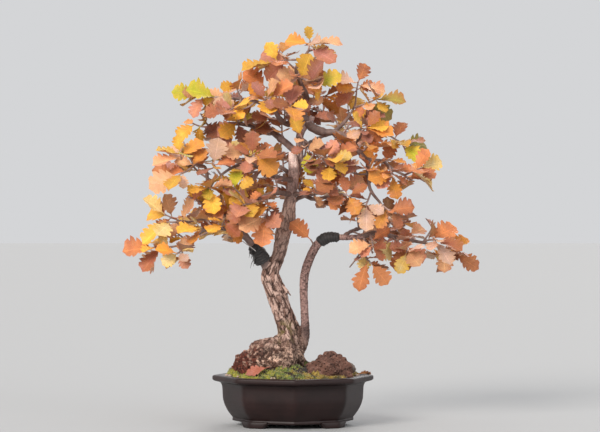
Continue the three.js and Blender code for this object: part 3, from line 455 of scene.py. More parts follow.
# %% [markdown]
# ## Pot
# The pot was pressed in a mould: a regular octagon with a flared, rounded lip, a belly that turns in to a
# thin foot band, and four corner feet with cloud-cut ends. Its wall is one surface of two parameters,
# the turn about the axis and the way along the profile. Faces meet in softened corners, which come from
# adding the eight faces' distances in a high power and taking the root.

# %% Octagon and profile
SIDES = 8
POT_TURN = math.radians(1.75)
HALF_SIDE = math.pi / SIDES
POT_OUTSIDE = [
    (112, 8), (113, 11), (112, 14.5), (113.5, 16), (121.4, 26.3), (127, 37), (130.6, 49),
    (131.6, 72), (135, 79), (146.5, 81.5), (150, 84), (150, 89.5), (147.5, 92),
]
POT_INSIDE = [(131, 92), (128, 89.5), (122, 80), (120, 50), (112, 36), (102, 22)]
POT_FLOOR = 22
POT_UNDERSIDE = 8
POT_RING = 30


def octagon_share(angle, power=60):
    """The octagon's radius over its corner radius at an angle: the apothem over the power mean of the cosines
    to the eight faces, which rounds the corners a little."""
    faces = POT_TURN + HALF_SIDE - np.pi / 2 + np.arange(SIDES) * 2 * HALF_SIDE
    cosines = np.maximum(np.cos(np.asarray(angle)[..., None] - faces), 0)
    return math.cos(HALF_SIDE) / (cosines**power).sum(-1) ** (1 / power)


def corner_turns(per_side):
    """Angles once round, closer together near the corners: equal steps minus a sine wave for each side."""
    u = np.arange(SIDES * per_side) / per_side
    return POT_TURN - np.pi / 2 + 2 * HALF_SIDE * (u - 0.85 * np.sin(2 * np.pi * u) / (2 * np.pi))


def softened(profile, rounds=3, cut=0.16):
    """A profile with its corners cut again and again, each cut taking a share of both neighbouring lines."""
    p = np.asarray(profile, float)
    for _ in range(rounds):
        a, b = p[:-1], p[1:]
        cuts = np.stack([mixed(a, b, cut), mixed(b, a, cut)], 1).reshape(-1, 2)
        p = np.vstack([p[:1], cuts[1:-1], p[-1:]])
    return p


def turned_octagon(profile, angles):
    """Rings of the octagon at each [corner radius, height] of a profile."""
    radius, height = np.array(profile, float).T[..., None]
    return polar(radius * octagon_share(angles), angles, height)


print("pot", max(z for _, z in POT_OUTSIDE), "mm high and", 2 * max(r for r, _ in POT_OUTSIDE), "mm wide")


# %% Pot wall
CLAY_DARK, CLAY_WARM_AND_PAINTED_HIGHLIGHT = linear((27, 15, 14)), linear((46, 27, 25))


def clay_tone(points):
    """Dark brown, a little warmer in broad clouds, and warmer near the lip as a painted highlight."""
    cloud = layered(points / 45.0, seed=3)
    # Painted highlight: the lip is turned towards the warmer, lighter tone, where light catches the rim.
    lip = ramp(points[:, 2], 78, 90) * 0.35
    return painted(0.15 + 0.6 * cloud * cloud + lip, CLAY_DARK, CLAY_WARM_AND_PAINTED_HIGHLIGHT)


wall = softened([(POT_RING, POT_UNDERSIDE), *POT_OUTSIDE, *POT_INSIDE, (POT_RING, POT_FLOOR)])
points, faces = skin(turned_octagon(wall, corner_turns(18)), (0, 0, POT_UNDERSIDE), (0, 0, POT_FLOOR))
pot = new_piece("pot_wall", (points, faces, clay_tone(points)), CLAY, ["pot"])

# %% Drainage holes
DRAIN = {"offset": 48, "radius": 11, "sides": 48}
for side in (-1, 1):
    rings = [polar(DRAIN["radius"], turns(DRAIN["sides"]), z) for z in (0.0, 2.0 * POT_FLOOR)]
    drill_points, drill_faces = skin(np.stack(rings) + [side * DRAIN["offset"], 0, 0])
    drill = plain_object("drill", placed(drill_points), drill_faces)
    cut = pot.modifiers.new("drain", "BOOLEAN")
    cut.operation, cut.object, cut.solver = "DIFFERENCE", drill, "EXACT"
    holed = modified(pot)
    pot.modifiers.clear()
    pot.data = holed
    bpy.data.objects.remove(drill)
print("pot wall with two drains:", len(pot.data.polygons), "faces")

# %% Corner feet
FOOT = {"corner": 116.5, "reach": 36, "height": 12.5, "thick": 15}
FIRST_STEP = {"from": 26, "way": 4.5, "rise": 6, "power": 1.6}
SECOND_STEP = {"from": 30.5, "way": 5.5, "rise": 5.6, "power": 3}


def squircle(sides, power=0.35):
    """A rounded square from -1 to 1: cosine and sine, each raised to a small power and keeping its sign."""
    t = turns(sides)
    return np.stack([np.sign(f) * np.abs(f) ** power for f in (np.cos(t), np.sin(t))], -1)


def cloud_edge(s):
    """Height of a foot's lower edge at a distance from its corner: on the ground, then a step up to a small
    scallop, and a second one up to the pot. Each step is a power of the way through it."""
    return sum(step["rise"] * np.clip((s - step["from"]) / step["way"], 0, 1) ** step["power"]
               for step in (FIRST_STEP, SECOND_STEP))


def foot(angle):
    """A section swept round one corner. Its outer face follows the octagon, its lower edge the cloud cut."""
    fan = np.linspace(-0.5, 0.5, 401) * 2 * HALF_SIDE + angle
    rim = polar(FOOT["corner"] * octagon_share(fan), fan, 0)
    distance = np.sign(fan - angle) * np.linalg.norm(rim - polar(FOOT["corner"], angle, 0), axis=1)
    places = FOOT["reach"] * np.sin(np.linspace(-0.5, 0.5, 49) * np.pi)
    turn = np.interp(places, distance, fan)
    outer = FOOT["corner"] * octagon_share(turn)
    inner = outer * (1 - FOOT["thick"] / (FOOT["corner"] * math.cos(HALF_SIDE)))
    section = squircle(20) / 2 + 0.5
    r = mixed(inner[:, None], outer[:, None], section[:, 0])
    z = mixed(cloud_edge(np.abs(places))[:, None], FOOT["height"], section[:, 1])
    points, faces = skin(polar(r, turn[:, None], z)[::-1])
    return points, faces, clay_tone(points)


feet = [foot(POT_TURN - math.pi / 2 + k * 2 * HALF_SIDE) for k in range(1, SIDES, 2)]
new_piece("pot_feet", together(feet), CLAY, ["pot"])

# %% [markdown]
# ## Soil
# The soil fills the pot and rises to a flat mound. Most of it is under moss, so it needs only a crumbly
# top. Its surface is turned about the axis like the pot's wall, with seed cells raised as crumbs.

# %% Mound and soil
SOIL_TOP = [(125, 86), (118, 92), (86, 102), (46, 111), (0, 113)]
SOIL_DARK, SOIL_LIGHT = linear((30, 22, 17)), linear((72, 54, 42))
# A dip is its middle in x and y and its width each way.
DIPS = [(26, -6, 21, 48), (80, -88, 30, 16)]
DIP_DEPTH = 7
CRUMB = {"cell": 3.2, "high": 1.6}
CLEAR_SIDE, CLEAR_FLOOR = 0.6, 0.3


def corner_radius(x, y):
    """The corner radius of the octagon that a point lies on."""
    return np.hypot(x, y) / octagon_share(np.arctan2(y, x))


def bell(x, y, middle_x, middle_y, wide, deep):
    """A round hill, 1 at its middle: e to the minus square of the distance, counted in widths."""
    return np.exp(-(((x - middle_x) / wide) ** 2) - ((y - middle_y) / deep) ** 2)


def hollow(x, y):
    """How far a place lies in a bare dip, 0 to 1: bells behind the front moss and before the rock, kept off
    the rim."""
    return np.maximum(*(bell(x, y, *dip) for dip in DIPS)) * (1 - ramp(corner_radius(x, y), 106, 122))


def mound(x, y):
    """Height of the soil: its profile read at the octagon that the place lies on, less the dips."""
    radii, heights = np.array(SOIL_TOP[::-1]).T
    return np.interp(corner_radius(x, y), radii, heights) - DIP_DEPTH * hollow(x, y)


inside = [(r - CLEAR_SIDE, z + CLEAR_FLOOR) for r, z in POT_INSIDE[:1:-1]]
soil_floor = POT_FLOOR + CLEAR_FLOOR
top = np.array(SOIL_TOP, float)
shares = np.linspace(0, len(top) - 1.02, 90)
fine_top = np.stack([np.interp(shares, np.arange(len(top)), top[:, k]) for k in (0, 1)], -1)
rings = turned_octagon([(4, soil_floor), *inside, *fine_top], corner_turns(24))
flat = rings.reshape(-1, 3)
near, _, tag = seed_cells(flat / CRUMB["cell"], seed=5)
crumb = np.clip(1 - near * 1.3, 0, 1) * ramp(flat[:, 2], 80, 84)
flat[:, 2] += CRUMB["high"] * crumb * (0.4 + tag)
flat[:, 2] -= DIP_DEPTH * hollow(flat[:, 0], flat[:, 1]) * ramp(flat[:, 2], 86, 92)
points, faces = skin(rings, (0, 0, soil_floor), (0, 0, mound(0.0, 0.0)))
shade = np.r_[crumb * (0.3 + 0.7 * tag), 0, 0]
new_piece("soil_mound", (points, faces, painted(shade, SOIL_DARK, SOIL_LIGHT)), SOIL, ["soil"])

# %% [markdown]
# ## Wood
# The main trunk leans left, kinks and comes back to a cut, pale stub. A slim second trunk rises beside it
# and bends right under a dark wrapping. The leader leaves behind the stub and carries the crown. All of
# it stands on a swollen, knobbly root stock.
# The thick wood is grown together: its tubes and burls are joined as one cloud of small cubes, smoothed
# where they meet, and then every point is pushed out along its normal by the bark's plates. Thin branches
# need no such joint, so they are plain tubes with swellings, each with its start inside the thicker wood.

# %% Branches and burls
# A branch is rows of x, y, z and radius. A burl is its middle and half sizes. The knots say how uneven
# each thick branch is.
WOOD = {
    "trunk": [[0, 4, 75, 24], [-4, 2, 108, 25], [-6, 0, 137, 23], [-6, -2, 160, 20.5], [-12, -4, 187, 19.4],
        [-20, -6, 212, 18.6], [-28, -8, 236, 18.2], [-37, -9, 258, 16.6], [-41, -8, 276, 15.6],
        [-37, -5, 291, 14.4], [-29, -2, 306, 12.4], [-24, 0, 323, 12.6], [-20, 2, 343, 13.2],
        [-14, 4, 364, 13.6], [-10, 4, 383, 13.2], [-6, 3, 407, 11.4], [-1, 1, 441, 10], [1, 0, 472, 9],
        [0, -1, 502, 8]],
    "second_trunk": [[4, 4, 112, 10], [14, 4, 136, 9.6], [22, 3, 160, 8.2], [22, 2, 188, 7.9],
        [21, 0, 218, 7.6], [19.5, -2, 248, 7.6], [21, -3, 272, 8], [27, -4, 296, 8.5], [36, -6, 318, 8.7],
        [45, -8, 332, 8], [57, -9, 341.5, 7.4], [71, -10, 345.5, 6.6], [88, -11, 344.5, 5.6],
        [110, -12, 344.5, 5.3], [130, -14, 346, 4.8]],
    "leader": [[-2, 4, 443, 7], [7, 12, 465, 7.2], [13, 16, 487, 7], [12, 16, 511, 6.8], [13, 13, 535, 7.4],
        [24, 10, 556, 8.6], [37, 8, 565, 5.5]],
    "apex": [[24, 10, 556, 6.6], [20, 12, 580, 5.2], [26, 10, 603, 4.6], [15, 6, 627, 4], [6, 2, 653, 3.4],
        [17, 0, 671, 3], [28, -2, 687, 2.4]],
    "left_top": [[28, 6, 563, 6], [11, -2, 562, 5.6], [-9, -12, 553, 5.2], [-24, -18, 562, 4.6],
        [-33, -20, 576, 4.2], [-47, -20, 585, 3.6], [-68, -14, 594, 3.2], [-95, -8, 599, 2.8],
        [-118, -2, 599, 2.2]],
    "left_upper": [[12, 16, 497, 6.4], [-4, 17, 511, 6.4], [-18, 20, 523, 6.4], [-37, 30, 538, 5.6],
        [-63, 44, 548, 4.6], [-95, 56, 555, 3.8], [-129, 66, 556, 3], [-156, 71, 550, 2.4]],
    "left_middle": [[-2, -6, 450, 5], [-29, -22, 455, 4.4], [-55, -38, 468, 4], [-82, -52, 480, 3.4],
        [-111, -66, 471, 2.8], [-130, -74, 458, 2.2]],
    "left_lower": [[-42, -6, 282, 11.5], [-54, -9, 301, 9.4], [-68, -16, 324, 7.6], [-91, -28, 351, 5.4],
        [-115, -38, 379, 4.4], [-140, -46, 406, 3.8], [-156, -50, 429, 3.4], [-156, -52, 453, 3.2],
        [-160, -56, 473, 2.8], [-180, -62, 477, 2.4], [-198, -68, 472, 2]],
    "left_drop": [[-91, -28, 351, 4.6], [-118, -48, 360, 3.8], [-145, -62, 362, 3.4], [-163, -72, 357, 3],
        [-186, -80, 339, 2.5], [-200, -85, 332, 2]],
    "front_left": [[-6, -6, 424, 5], [-22, -26, 426, 4.4], [-42, -50, 424, 3.8], [-62, -72, 415, 3],
        [-73, -84, 409, 2.2]],
    "front_right": [[2, -4, 424, 5], [18, -22, 424, 4.4], [36, -44, 415, 3.8], [60, -62, 418, 3.2],
        [82, -76, 423, 2.2]],
    "front_middle": [[13, 10, 528, 4.5], [26, -24, 516, 4], [40, -56, 500, 3.2], [52, -78, 490, 2.2]],
    "right_main": [[24, 8, 554, 7.4], [50, 2, 540, 6.4], [74, -4, 538, 5.4], [96, -8, 531, 4.8],
        [112, -12, 518, 4.3], [123, -16, 500, 3.9], [137, -22, 487, 3.6], [163, -30, 484, 3.1],
        [182, -36, 470, 2.7], [204, -42, 458, 2.2]],
    "right_upper": [[74, -4, 538, 4.4], [92, 14, 554, 3.8], [105, 25, 570, 3]],
    "right_shoulder": [[112, -12, 518, 4.4], [127, 4, 533, 3.8], [148, 18, 541, 3.2], [176, 28, 535, 2.4]],
    "right_hanging": [[137, -22, 487, 3.8], [137, -40, 461, 3.4], [141, -56, 432, 3], [160, -72, 405, 2.2]],
    "right_lower": [[128, -14, 346, 4.4], [152, -12, 353, 4], [181, -2, 347, 3.6], [210, 8, 340, 3.2],
        [239, 16, 335, 2.8], [268, 22, 328, 2.2]],
    "back_top": [[20, 12, 576, 4.4], [11, 50, 592, 3.4], [2, 80, 603, 2.2]],
    "back_right": [[11, 16, 506, 4.6], [35, 60, 522, 3.8], [58, 104, 535, 3], [74, 128, 539, 2.2]],
    "back_left": [[0, 8, 458, 4.6], [-20, 50, 473, 3.8], [-47, 96, 485, 3], [-66, 122, 492, 2.2]],
    "back_low": [[-6, 6, 406, 4.6], [13, 52, 418, 3.8], [38, 98, 425, 3], [59, 126, 428, 2.2]],
    "back_right_low": [[88, -11, 343, 3.8], [109, 30, 356, 3.4], [136, 72, 363, 2.8], [156, 96, 364, 2.2]],
    "back_left_low": [[-74, -19, 331, 4.2], [-87, 30, 347, 3.6], [-107, 76, 362, 2.8],
        [-118, 98, 365, 2.2]],
    "stub_kink": [[-30, -10, 262, 3.6], [-12, -16, 247, 2.8], [-4, -18, 238, 1.8]],
    "twig_left": [[128, -14, 346, 2.4], [132, -18, 332, 2], [116, -16, 306, 1.6], [104, -14, 290, 1.1]],
    "root_left": [[-6, -4, 132, 17], [-44, -26, 121, 12], [-76, -32, 110, 7], [-92, -36, 100, 3]],
    "root_front": [[4, -10, 124, 13], [-6, -44, 116, 8], [-16, -70, 107, 4]],
    "root_back": [[-2, 10, 126, 15], [18, 50, 112, 8], [30, 74, 105, 4]],
    "root_back_left": [[-16, 14, 122, 13], [-44, 42, 112, 8], [-62, 60, 103, 4]],
}
BURLS = [
    (-17, -16, 128, 26, 26, 41), (-50, -24, 128, 30, 31, 34), (-82, -26, 111, 27, 26, 26),
    (-38, -48, 116, 40, 14, 21), (-7, -27, 116, 13, 24, 32), (-6, 11, 113, 14, 14, 13),
]
KNOTS = {
    "trunk": 0.14, "second_trunk": 0.08, "leader": 0.06, "stub_kink": 0.1,
    "root_left": 0.3, "root_front": 0.3, "root_back": 0.3, "root_back_left": 0.3,
}
print("branches:", len(WOOD), "of which thick:", len(KNOTS), "burls:", len(BURLS))


# %% Thick wood as rough solids
def knotted(strength):
    """Unevenness of a trunk: two waves round it that drift with height."""
    def uneven(centre, turn):
        z = centre[:, 2, None]
        return 1 + strength / 2 * (np.sin(3 * turn + z / 11) + np.sin(2 * turn - z / 17 + 1.7))
    return uneven


def about_z(angle):
    """Turns rows of points about Z when they are multiplied by it."""
    c, s = math.cos(angle), math.sin(angle)
    return np.array([[c, s, 0], [-s, c, 0], [0, 0, 1]])


def boulder(centre, half, rows, columns, rough=0.22, turn=0.0, relief=None):
    """A rough ball: each direction is pushed in or out by crossed waves, stretched to half sizes and turned
    about Z. relief adds millimetres along the direction."""
    rise = np.linspace(-0.5, 0.5, rows + 2)[1:-1, None] * np.pi
    out = polar(np.cos(rise), turns(columns), np.sin(rise))
    x, y, z = np.moveaxis(out, -1, 0)
    broad = np.sin(4.1 * x + 2.3 * z + centre[0]) * np.sin(3.7 * y - 2.9 * z + centre[1])
    fine = np.sin(9.3 * x + centre[2]) * np.sin(8.1 * y + 7.7 * z)
    rings = out * (1 + rough * (0.7 * broad + 0.4 * fine))[..., None] * np.asarray(half)
    if relief is not None:
        rings = rings + out * relief(rings.reshape(-1, 3)).reshape(rows, columns, 1)
    return skin(rings @ about_z(turn) + np.asarray(centre))


rough_parts = [tube(WOOD[n], 5, 40 if n == "trunk" else 24, knotted(knot)) for n, knot in KNOTS.items()]
rough_parts += [boulder(b[:3], b[3:], 30, 48) for b in BURLS]
rough_parts = [(p, f, np.zeros_like(p)) for p, f in rough_parts]
print("thick wood:", len(rough_parts), "rough solids")

# %% Grown together
GROW_VOXEL, SMOOTHINGS = 1.5, 6


def grown_together(parts, voxel):
    """Points and faces of the parts as one surface: a voxel remesh, done in millimetres."""
    points, faces, _ = together(parts)
    rough = plain_object("rough_wood", points, faces)
    remesh = rough.modifiers.new("grow", "REMESH")
    remesh.mode, remesh.voxel_size, remesh.adaptivity = "VOXEL", voxel, 0
    grown = modified(rough)
    bpy.data.objects.remove(rough)
    place = np.empty(len(grown.vertices) * 3, np.float32)
    grown.vertices.foreach_get("co", place)
    corner = np.empty(len(grown.loops), np.int32)
    grown.loops.foreach_get("vertex_index", corner)
    return place.reshape(-1, 3).astype(float), corner.reshape(-1, 4)


def gathered(index, rows, count):
    """Rows added up by their index, one column at a time."""
    return np.stack([np.bincount(index, column, count) for column in rows.T], -1)


def relaxed(points, faces, rounds, strength=0.6):
    """Each point moved towards the mean of its neighbours along face edges, several times."""
    a, b, total = faces.ravel(), np.roll(faces, -1, axis=1).ravel(), len(points)
    neighbours = np.bincount(a, minlength=total) + np.bincount(b, minlength=total)
    for _ in range(rounds):
        mean = (gathered(a, points[b], total) + gathered(b, points[a], total)) / neighbours[:, None]
        points = mixed(points, mean, strength)
    return points


def outward(points, faces):
    """Unit normals of a quad mesh's points: the faces' diagonals crossed, added up at each point."""
    p = points[faces]
    square = np.cross(p[:, 2] - p[:, 0], p[:, 3] - p[:, 1])
    total = gathered(faces.ravel(), np.repeat(square, 4, axis=0), len(points))
    return total / np.maximum(np.linalg.norm(total, axis=1, keepdims=True), 1e-12)


wood, wood_faces = grown_together(rough_parts, GROW_VOXEL)
wood = relaxed(wood, wood_faces, SMOOTHINGS)
print("grown wood:", len(wood), "points")

# %% [markdown]
# ## Bark
# Oak bark splits into long plates on the trunk and into small thick flakes on the old root stock. Both
# are seed cells: a point's plate is its nearest seed, and the furrow between two plates is where the
# nearest and second nearest seeds are equally far. On the trunk the cells are drawn out along it, and
# they follow its lean because the coordinates are taken from the centre line. The stub was cut off, so its
# top is pressed down to a plane and is pale.

# %% Bark relief
# Plates and flakes are given by their size, how far they are drawn out, and a seed.
TRUNK_PLATES, ROOT_FLAKES, SMALL_PLATES = (6.6, 3.0, 11), (5.2, 0.9, 23), (3.4, 2.0, 31)
ROOT_TOP, CROWN_START = (128, 168), (380, 470)
PLATE_HIGH, SMALL_HIGH, FLAKE_HIGH, SWELL_HIGH = 2.2, 0.9, 2.8, 5


def trunk_share(points):
    """How far a point belongs to the second trunk rather than to the main one, by how near each line is."""
    distances = []
    for name in ("trunk", "second_trunk"):
        rows = np.array(WOOD[name], float)
        rows = rows[np.argsort(rows[:, 2])]
        at = [np.interp(points[:, 2], rows[:, 2], rows[:, k]) for k in range(4)]
        distances.append(np.hypot(points[:, 0] - at[0], points[:, 1] - at[1]) / at[3])
    return ramp(distances[0] - distances[1], -0.2, 0.6)


def plates(points, cell, stretch, seed):
    """How far a point lies out of the furrows, 0 to 1, each plate's own number, and its dome, for cells of a
    size that are stretched upwards. The coordinates are first bent by noise, so that plates are ragged."""
    x, y, z, _ = np.array(WOOD["trunk"], float).T
    lean = np.stack([np.interp(points[:, 2], z, side) for side in (x, y)], -1)
    local = np.c_[points[:, :2] - lean, points[:, 2] / stretch] / cell
    bend = np.stack([noise(local * 1.7, seed + k) for k in range(3)], -1) - 0.5
    near, second, tag = seed_cells(local + 0.7 * bend, seed)
    return ramp(second - near, 0.0, 0.22), tag, 1 - near


height = wood[:, 2]
root = 1 - ramp(height, *ROOT_TOP)
slim = trunk_share(wood) * (1 - root)
crown = ramp(height, *CROWN_START)
plate, plate_tag, _ = plates(wood, *TRUNK_PLATES)
flake, flake_tag, flake_dome = plates(wood, *ROOT_FLAKES)
small, small_tag, _ = plates(wood, *SMALL_PLATES)
swell = layered(wood / 16.0, seed=41) - 0.5
knobs = small * small_tag
trunk_relief = (PLATE_HIGH * plate * (0.5 + 0.5 * plate_tag) + 0.7 * knobs - 1.3) * (1 - 0.55 * crown)
slim_relief = SMALL_HIGH * small * (0.4 + 0.6 * small_tag) - 0.5
root_relief = FLAKE_HIGH * flake * (0.2 + 0.8 * flake_tag) + 0.7 * flake_dome + 1.3 * knobs
root_relief = root_relief + SWELL_HIGH * swell - FLAKE_HIGH
relief = mixed(mixed(trunk_relief, slim_relief, slim), root_relief, root)
wood = wood + outward(wood, wood_faces) * relief[:, None]
print("bark relief from", round(relief.min(), 2), "to", round(relief.max(), 2), "mm")

# %% Cut stub
CUT = {"edge": (471, 476), "high": 503, "slope": 0.45, "left": -8, "reach": 12, "back": 10}
x, y, height = wood.T
cut = ramp(height, *CUT["edge"]) * (np.hypot(x, y) < CUT["reach"])
is_cut = (cut > 0) & (y < CUT["back"])
roof = CUT["high"] - CUT["slope"] * (x - CUT["left"])
wood[:, 2] = np.where(is_cut, np.minimum(height, roof), height)
print("points on the cut stub:", int(is_cut.sum()))

# %% Bark colour
BARK_FURROW, BARK_GREY, BARK_PALE_AND_PAINTED_LIGHT = linear((42, 26, 21)), linear((140, 106, 93)), linear((198, 166, 152))
BARK_YOUNG, LEADER_PAINTED_SHADE, FORK_PAINTED_SHADE = linear((164, 131, 123)), 0.45, 0.65
ROOT_DEEP, ROOT_RED, ROOT_FLAKE = linear((36, 21, 17)), linear((132, 66, 50)), linear((200, 166, 146))
ROOT_BROWN, CROWN_BARK_AND_PAINTED_LIGHT = linear((102, 71, 57)), linear((226, 194, 186))
MOSS_STAIN, CUT_WOOD = linear((112, 104, 48)), linear((250, 222, 212))
speckle = noise(wood / 1.9, seed=51)
fleck = noise(wood / [3.0, 3.0, 1.6], seed=57)
patch = noise(wood / 7.0, seed=63)
grain_line = 0.75 + 0.5 * noise(wood / [1.2, 1.2, 14.0], seed=71)


def fading(low, high):
    """1 below low and 0 above high, over the height."""
    return 1 - ramp(height, low, high)


grey = painted(plate * (0.7 + 0.3 * plate_tag) + 0.3 * (speckle - 0.5), BARK_FURROW, BARK_GREY)
grey = painted(plate * ramp(plate_tag + 0.5 * speckle, 0.5, 1.1), grey, BARK_PALE_AND_PAINTED_LIGHT)
# The smooth bark high on the trunk is its own tone, made paler as painted light against the crown's shadow on
# it.
smooth = painted(0.35 + 0.4 * small + 0.5 * speckle, BARK_FURROW, CROWN_BARK_AND_PAINTED_LIGHT)
young = painted(0.55 * small + 1.3 * (fleck - 0.22), BARK_FURROW, BARK_YOUNG)

rust = ramp(-x + 24 * (swell + noise(wood / 9.0, seed=59) - 0.5), 50, 92)
brown = mixed(ROOT_BROWN, ROOT_RED, rust[:, None])
red = painted(flake * (0.4 + 0.5 * flake_tag + 0.4 * (speckle - 0.5)), ROOT_DEEP, brown)
pale = flake * ramp(0.45 * flake_tag + 0.25 * small_tag + 0.75 * patch - 0.25 * rust, 0.58, 0.88)
red = painted(pale * ramp(height, 98, 124), red, ROOT_FLAKE)
red = red * (0.55 + 0.9 * layered(wood / 13.0, seed=67))[:, None]

tones = mixed(mixed(grey, smooth, 0.8 * crown[:, None]), young, slim[:, None])
tones = mixed(tones, red, root[:, None])
# Painted light: the upper main trunk, from 290 to 450 mm high, is paled towards the pale bark tone where the
# crown's shadow falls on it.
lit = ramp(height, 290, 330) * fading(400, 450) * (1 - slim)
tones = painted(0.8 * lit * (0.3 + 0.7 * plate), tones, BARK_PALE_AND_PAINTED_LIGHT)
# Painted shade: the back of the wood behind the stub, from 440 to 470 mm high, is darkened.
behind = ramp(height, 440, 470) * ramp(y, 4, 11)
# Painted shade: the second trunk is darkened below about 180 mm, where it stands in the shade beside the main
# trunk.
fork = slim * fading(172, 192)
tones = tones * (1 - np.maximum(LEADER_PAINTED_SHADE * behind, FORK_PAINTED_SHADE * fork))[:, None]
stain = ramp(noise(wood / 9.0, seed=61), 0.35, 0.65) * np.exp(-(((x + 13) / 12) ** 2))
tones = painted(0.7 * stain * ramp(height, 142, 156) * fading(182, 198), tones, MOSS_STAIN)
tones = painted(np.where(is_cut, cut, 0), tones, CUT_WOOD) * np.where(is_cut, grain_line, 1)[:, None]
new_piece("trunk_bark", (wood, wood_faces, tones), BARK, ["trunk"])


# %% Thin branches
TWIG_DARK, TWIG_LIGHT = linear((62, 44, 38)), linear((172, 144, 134))


def branch_swelling(strength, seed):
    """A branch's unevenness: noise in the round, and a ring-shaped swelling at the old nodes."""
    def uneven(centre, turn):
        spot = centre[:, None] / 9 + polar(1, turn, 0)
        lumps = layered(spot.reshape(-1, 3), seed).reshape(spot.shape[:2]) - 0.5
        nodes = noise(centre / 11.0, seed + 5)[:, None]
        return 1 + strength * lumps + 0.28 * ramp(nodes, 0.66, 0.85)
    return uneven


def twig_tone(points, seed, light):
    """Dark brown with paler grey patches."""
    return painted(light * 0.4 + layered(points / 6.0, seed) * light * 1.3, TWIG_DARK, TWIG_LIGHT)


branches = []
for count, (name, points) in enumerate(WOOD.items()):
    if name not in KNOTS:
        p, f = tube(points, 3.2, 12, branch_swelling(0.45, count))
        branches.append((p, f, twig_tone(p, count, 0.45)))
new_piece("branches", together(branches), TWIG_BARK, ["trunk"])

# %% [markdown]
# ## Wrappings
# Where a branch was bent hard it is bound in dark tape. The tape winds round and round, so the surface's
# radius rises in a small step once for each turn: a sawtooth of the way along plus the angle. The lower
# left binding is old and lumpy, a few strips of it have come loose, and a pale thread lies across it.

# %% Wound tape
WRAPS = {
    "right": {"branch": "second_trunk", "from": 9.25, "to": 11.85, "wall": 2.4, "pitch": 5.5, "lumps": 1.6,
              "wrinkle": 1.0},
    "left": {"branch": "left_lower", "from": 0.9, "to": 2.3, "wall": 3.4, "pitch": 5.0, "lumps": 9,
             "wrinkle": 3.2},
}
TAPE_STEP, TAPE_SIDES, TAPE_END = 0.7, 40, 3.5
LOOSE_STRIPS, STRIP_FLATNESS, STRIP_WIDTHS = 14, np.array([[1, 0.35, 0.35, 1, 0.35, 0.35]]), [2.4, 2.0, 0.7]
THREAD = [[-92, -40, 338, 0.8], [-82, -38, 331, 0.9], [-74, -36, 325, 0.9], [-68, -34, 320, 0.7]]
TAPE_DARK, TAPE_GREY_AND_PAINTED_HIGHLIGHT = linear((20, 18, 18)), linear((60, 56, 56))
THREAD_PALE = linear((190, 184, 180))


def wound(wrap, seed):
    """Rings about the branch, standing off by the wall, a sawtooth for the windings and some noise for
    wrinkles; at both ends the tape comes down to the bark."""
    points = WOOD[wrap["branch"]]
    marks = marks_along(points, TAPE_STEP, wrap["from"], wrap["to"])
    centre, _, radius, out, turn = tube_frame(points, marks, TAPE_SIDES)
    way = np.r_[0, np.cumsum(np.linalg.norm(np.diff(centre, axis=0), axis=1))]
    saw = (way[:, None] / wrap["pitch"] + turn / (2 * np.pi)) % 1
    close = ramp(np.minimum(way, way[-1] - way), 0, TAPE_END)[:, None]
    spot = (centre[:, None] + out * 8).reshape(-1, 3)
    wrinkle = noise(spot / 2.6, seed).reshape(saw.shape) - 0.5
    lump = noise(spot / 8.0, seed + 3).reshape(saw.shape) - 0.35
    uneven = 0.9 * saw + wrap["wrinkle"] * wrinkle + wrap["lumps"] * lump
    stand = wrap["wall"] * (0.25 + 0.75 * close) + close * uneven
    rings = centre[:, None] + out * (radius[:, None] + stand)[..., None]
    # Painted highlight: the raised edge of each turn and the tops of the wrinkles are lighter grey.
    tone = painted(0.15 + 0.5 * ramp(saw, 0.5, 1) + 0.5 * wrinkle, TAPE_DARK, TAPE_GREY_AND_PAINTED_HIGHLIGHT)
    p, f = skin(rings)
    return p, f, np.vstack([tone.reshape(-1, 3), TAPE_DARK, TAPE_DARK])


def one_tone(part, tone):
    """A part (points, faces) in one plain tone."""
    return *part, np.tile(tone, (len(part[0]), 1))


def loose_strips(wrap, count, seed):
    """Ends of tape that hang from the binding: short flat ribbons that leave it and bend down."""
    points = WOOD[wrap["branch"]]
    draw = np.random.default_rng(seed)
    strips = []
    for _ in range(count):
        mark = np.array([draw.uniform(wrap["from"], wrap["to"])])
        centre, _, radius, out, _ = tube_frame(points, mark, 24)
        side = out[0, draw.integers(24)]
        start = centre[0] + side * (radius[0] + 1.2)
        reach = draw.uniform(6, 16)
        middle = start + side * reach * 0.5 + [0, 0, -1]
        end = start + side * reach * 0.8 + [0, 0, -reach * 0.7]
        rows = np.c_[np.array([start, middle, end]), STRIP_WIDTHS]
        strips.append(one_tone(tube(rows, 1.5, 6, lambda _, turn: STRIP_FLATNESS), TAPE_GREY_AND_PAINTED_HIGHLIGHT * 0.8))
    return strips


new_piece("tape_right", wound(WRAPS["right"], 3), TAPE, ["wrap_right"])
left_tape = [wound(WRAPS["left"], 9), *loose_strips(WRAPS["left"], LOOSE_STRIPS, seed=4)]
left_tape.append(one_tone(tube(THREAD, 1.5, 6), THREAD_PALE))
new_piece("tape_left", together(left_tape), TAPE, ["wrap_left"])

# %% [markdown]
# ## Oak leaf
# An oak leaf has a short stalk, a blade that is widest past its middle, and along each side a row of
# blunt lobes, one at the end of each side vein. Here a leaf is a grid: rows from stalk to tip, and three
# columns, the two edges and the midrib. The edge points of each row lie in turn in a notch, on the rise
# of a lobe and at its point, so the outline is cut in the mesh. The under side is a second midrib below
# the first, so each leaf is closed, as thin as a lens, and has only sixty faces: there are many hundreds.

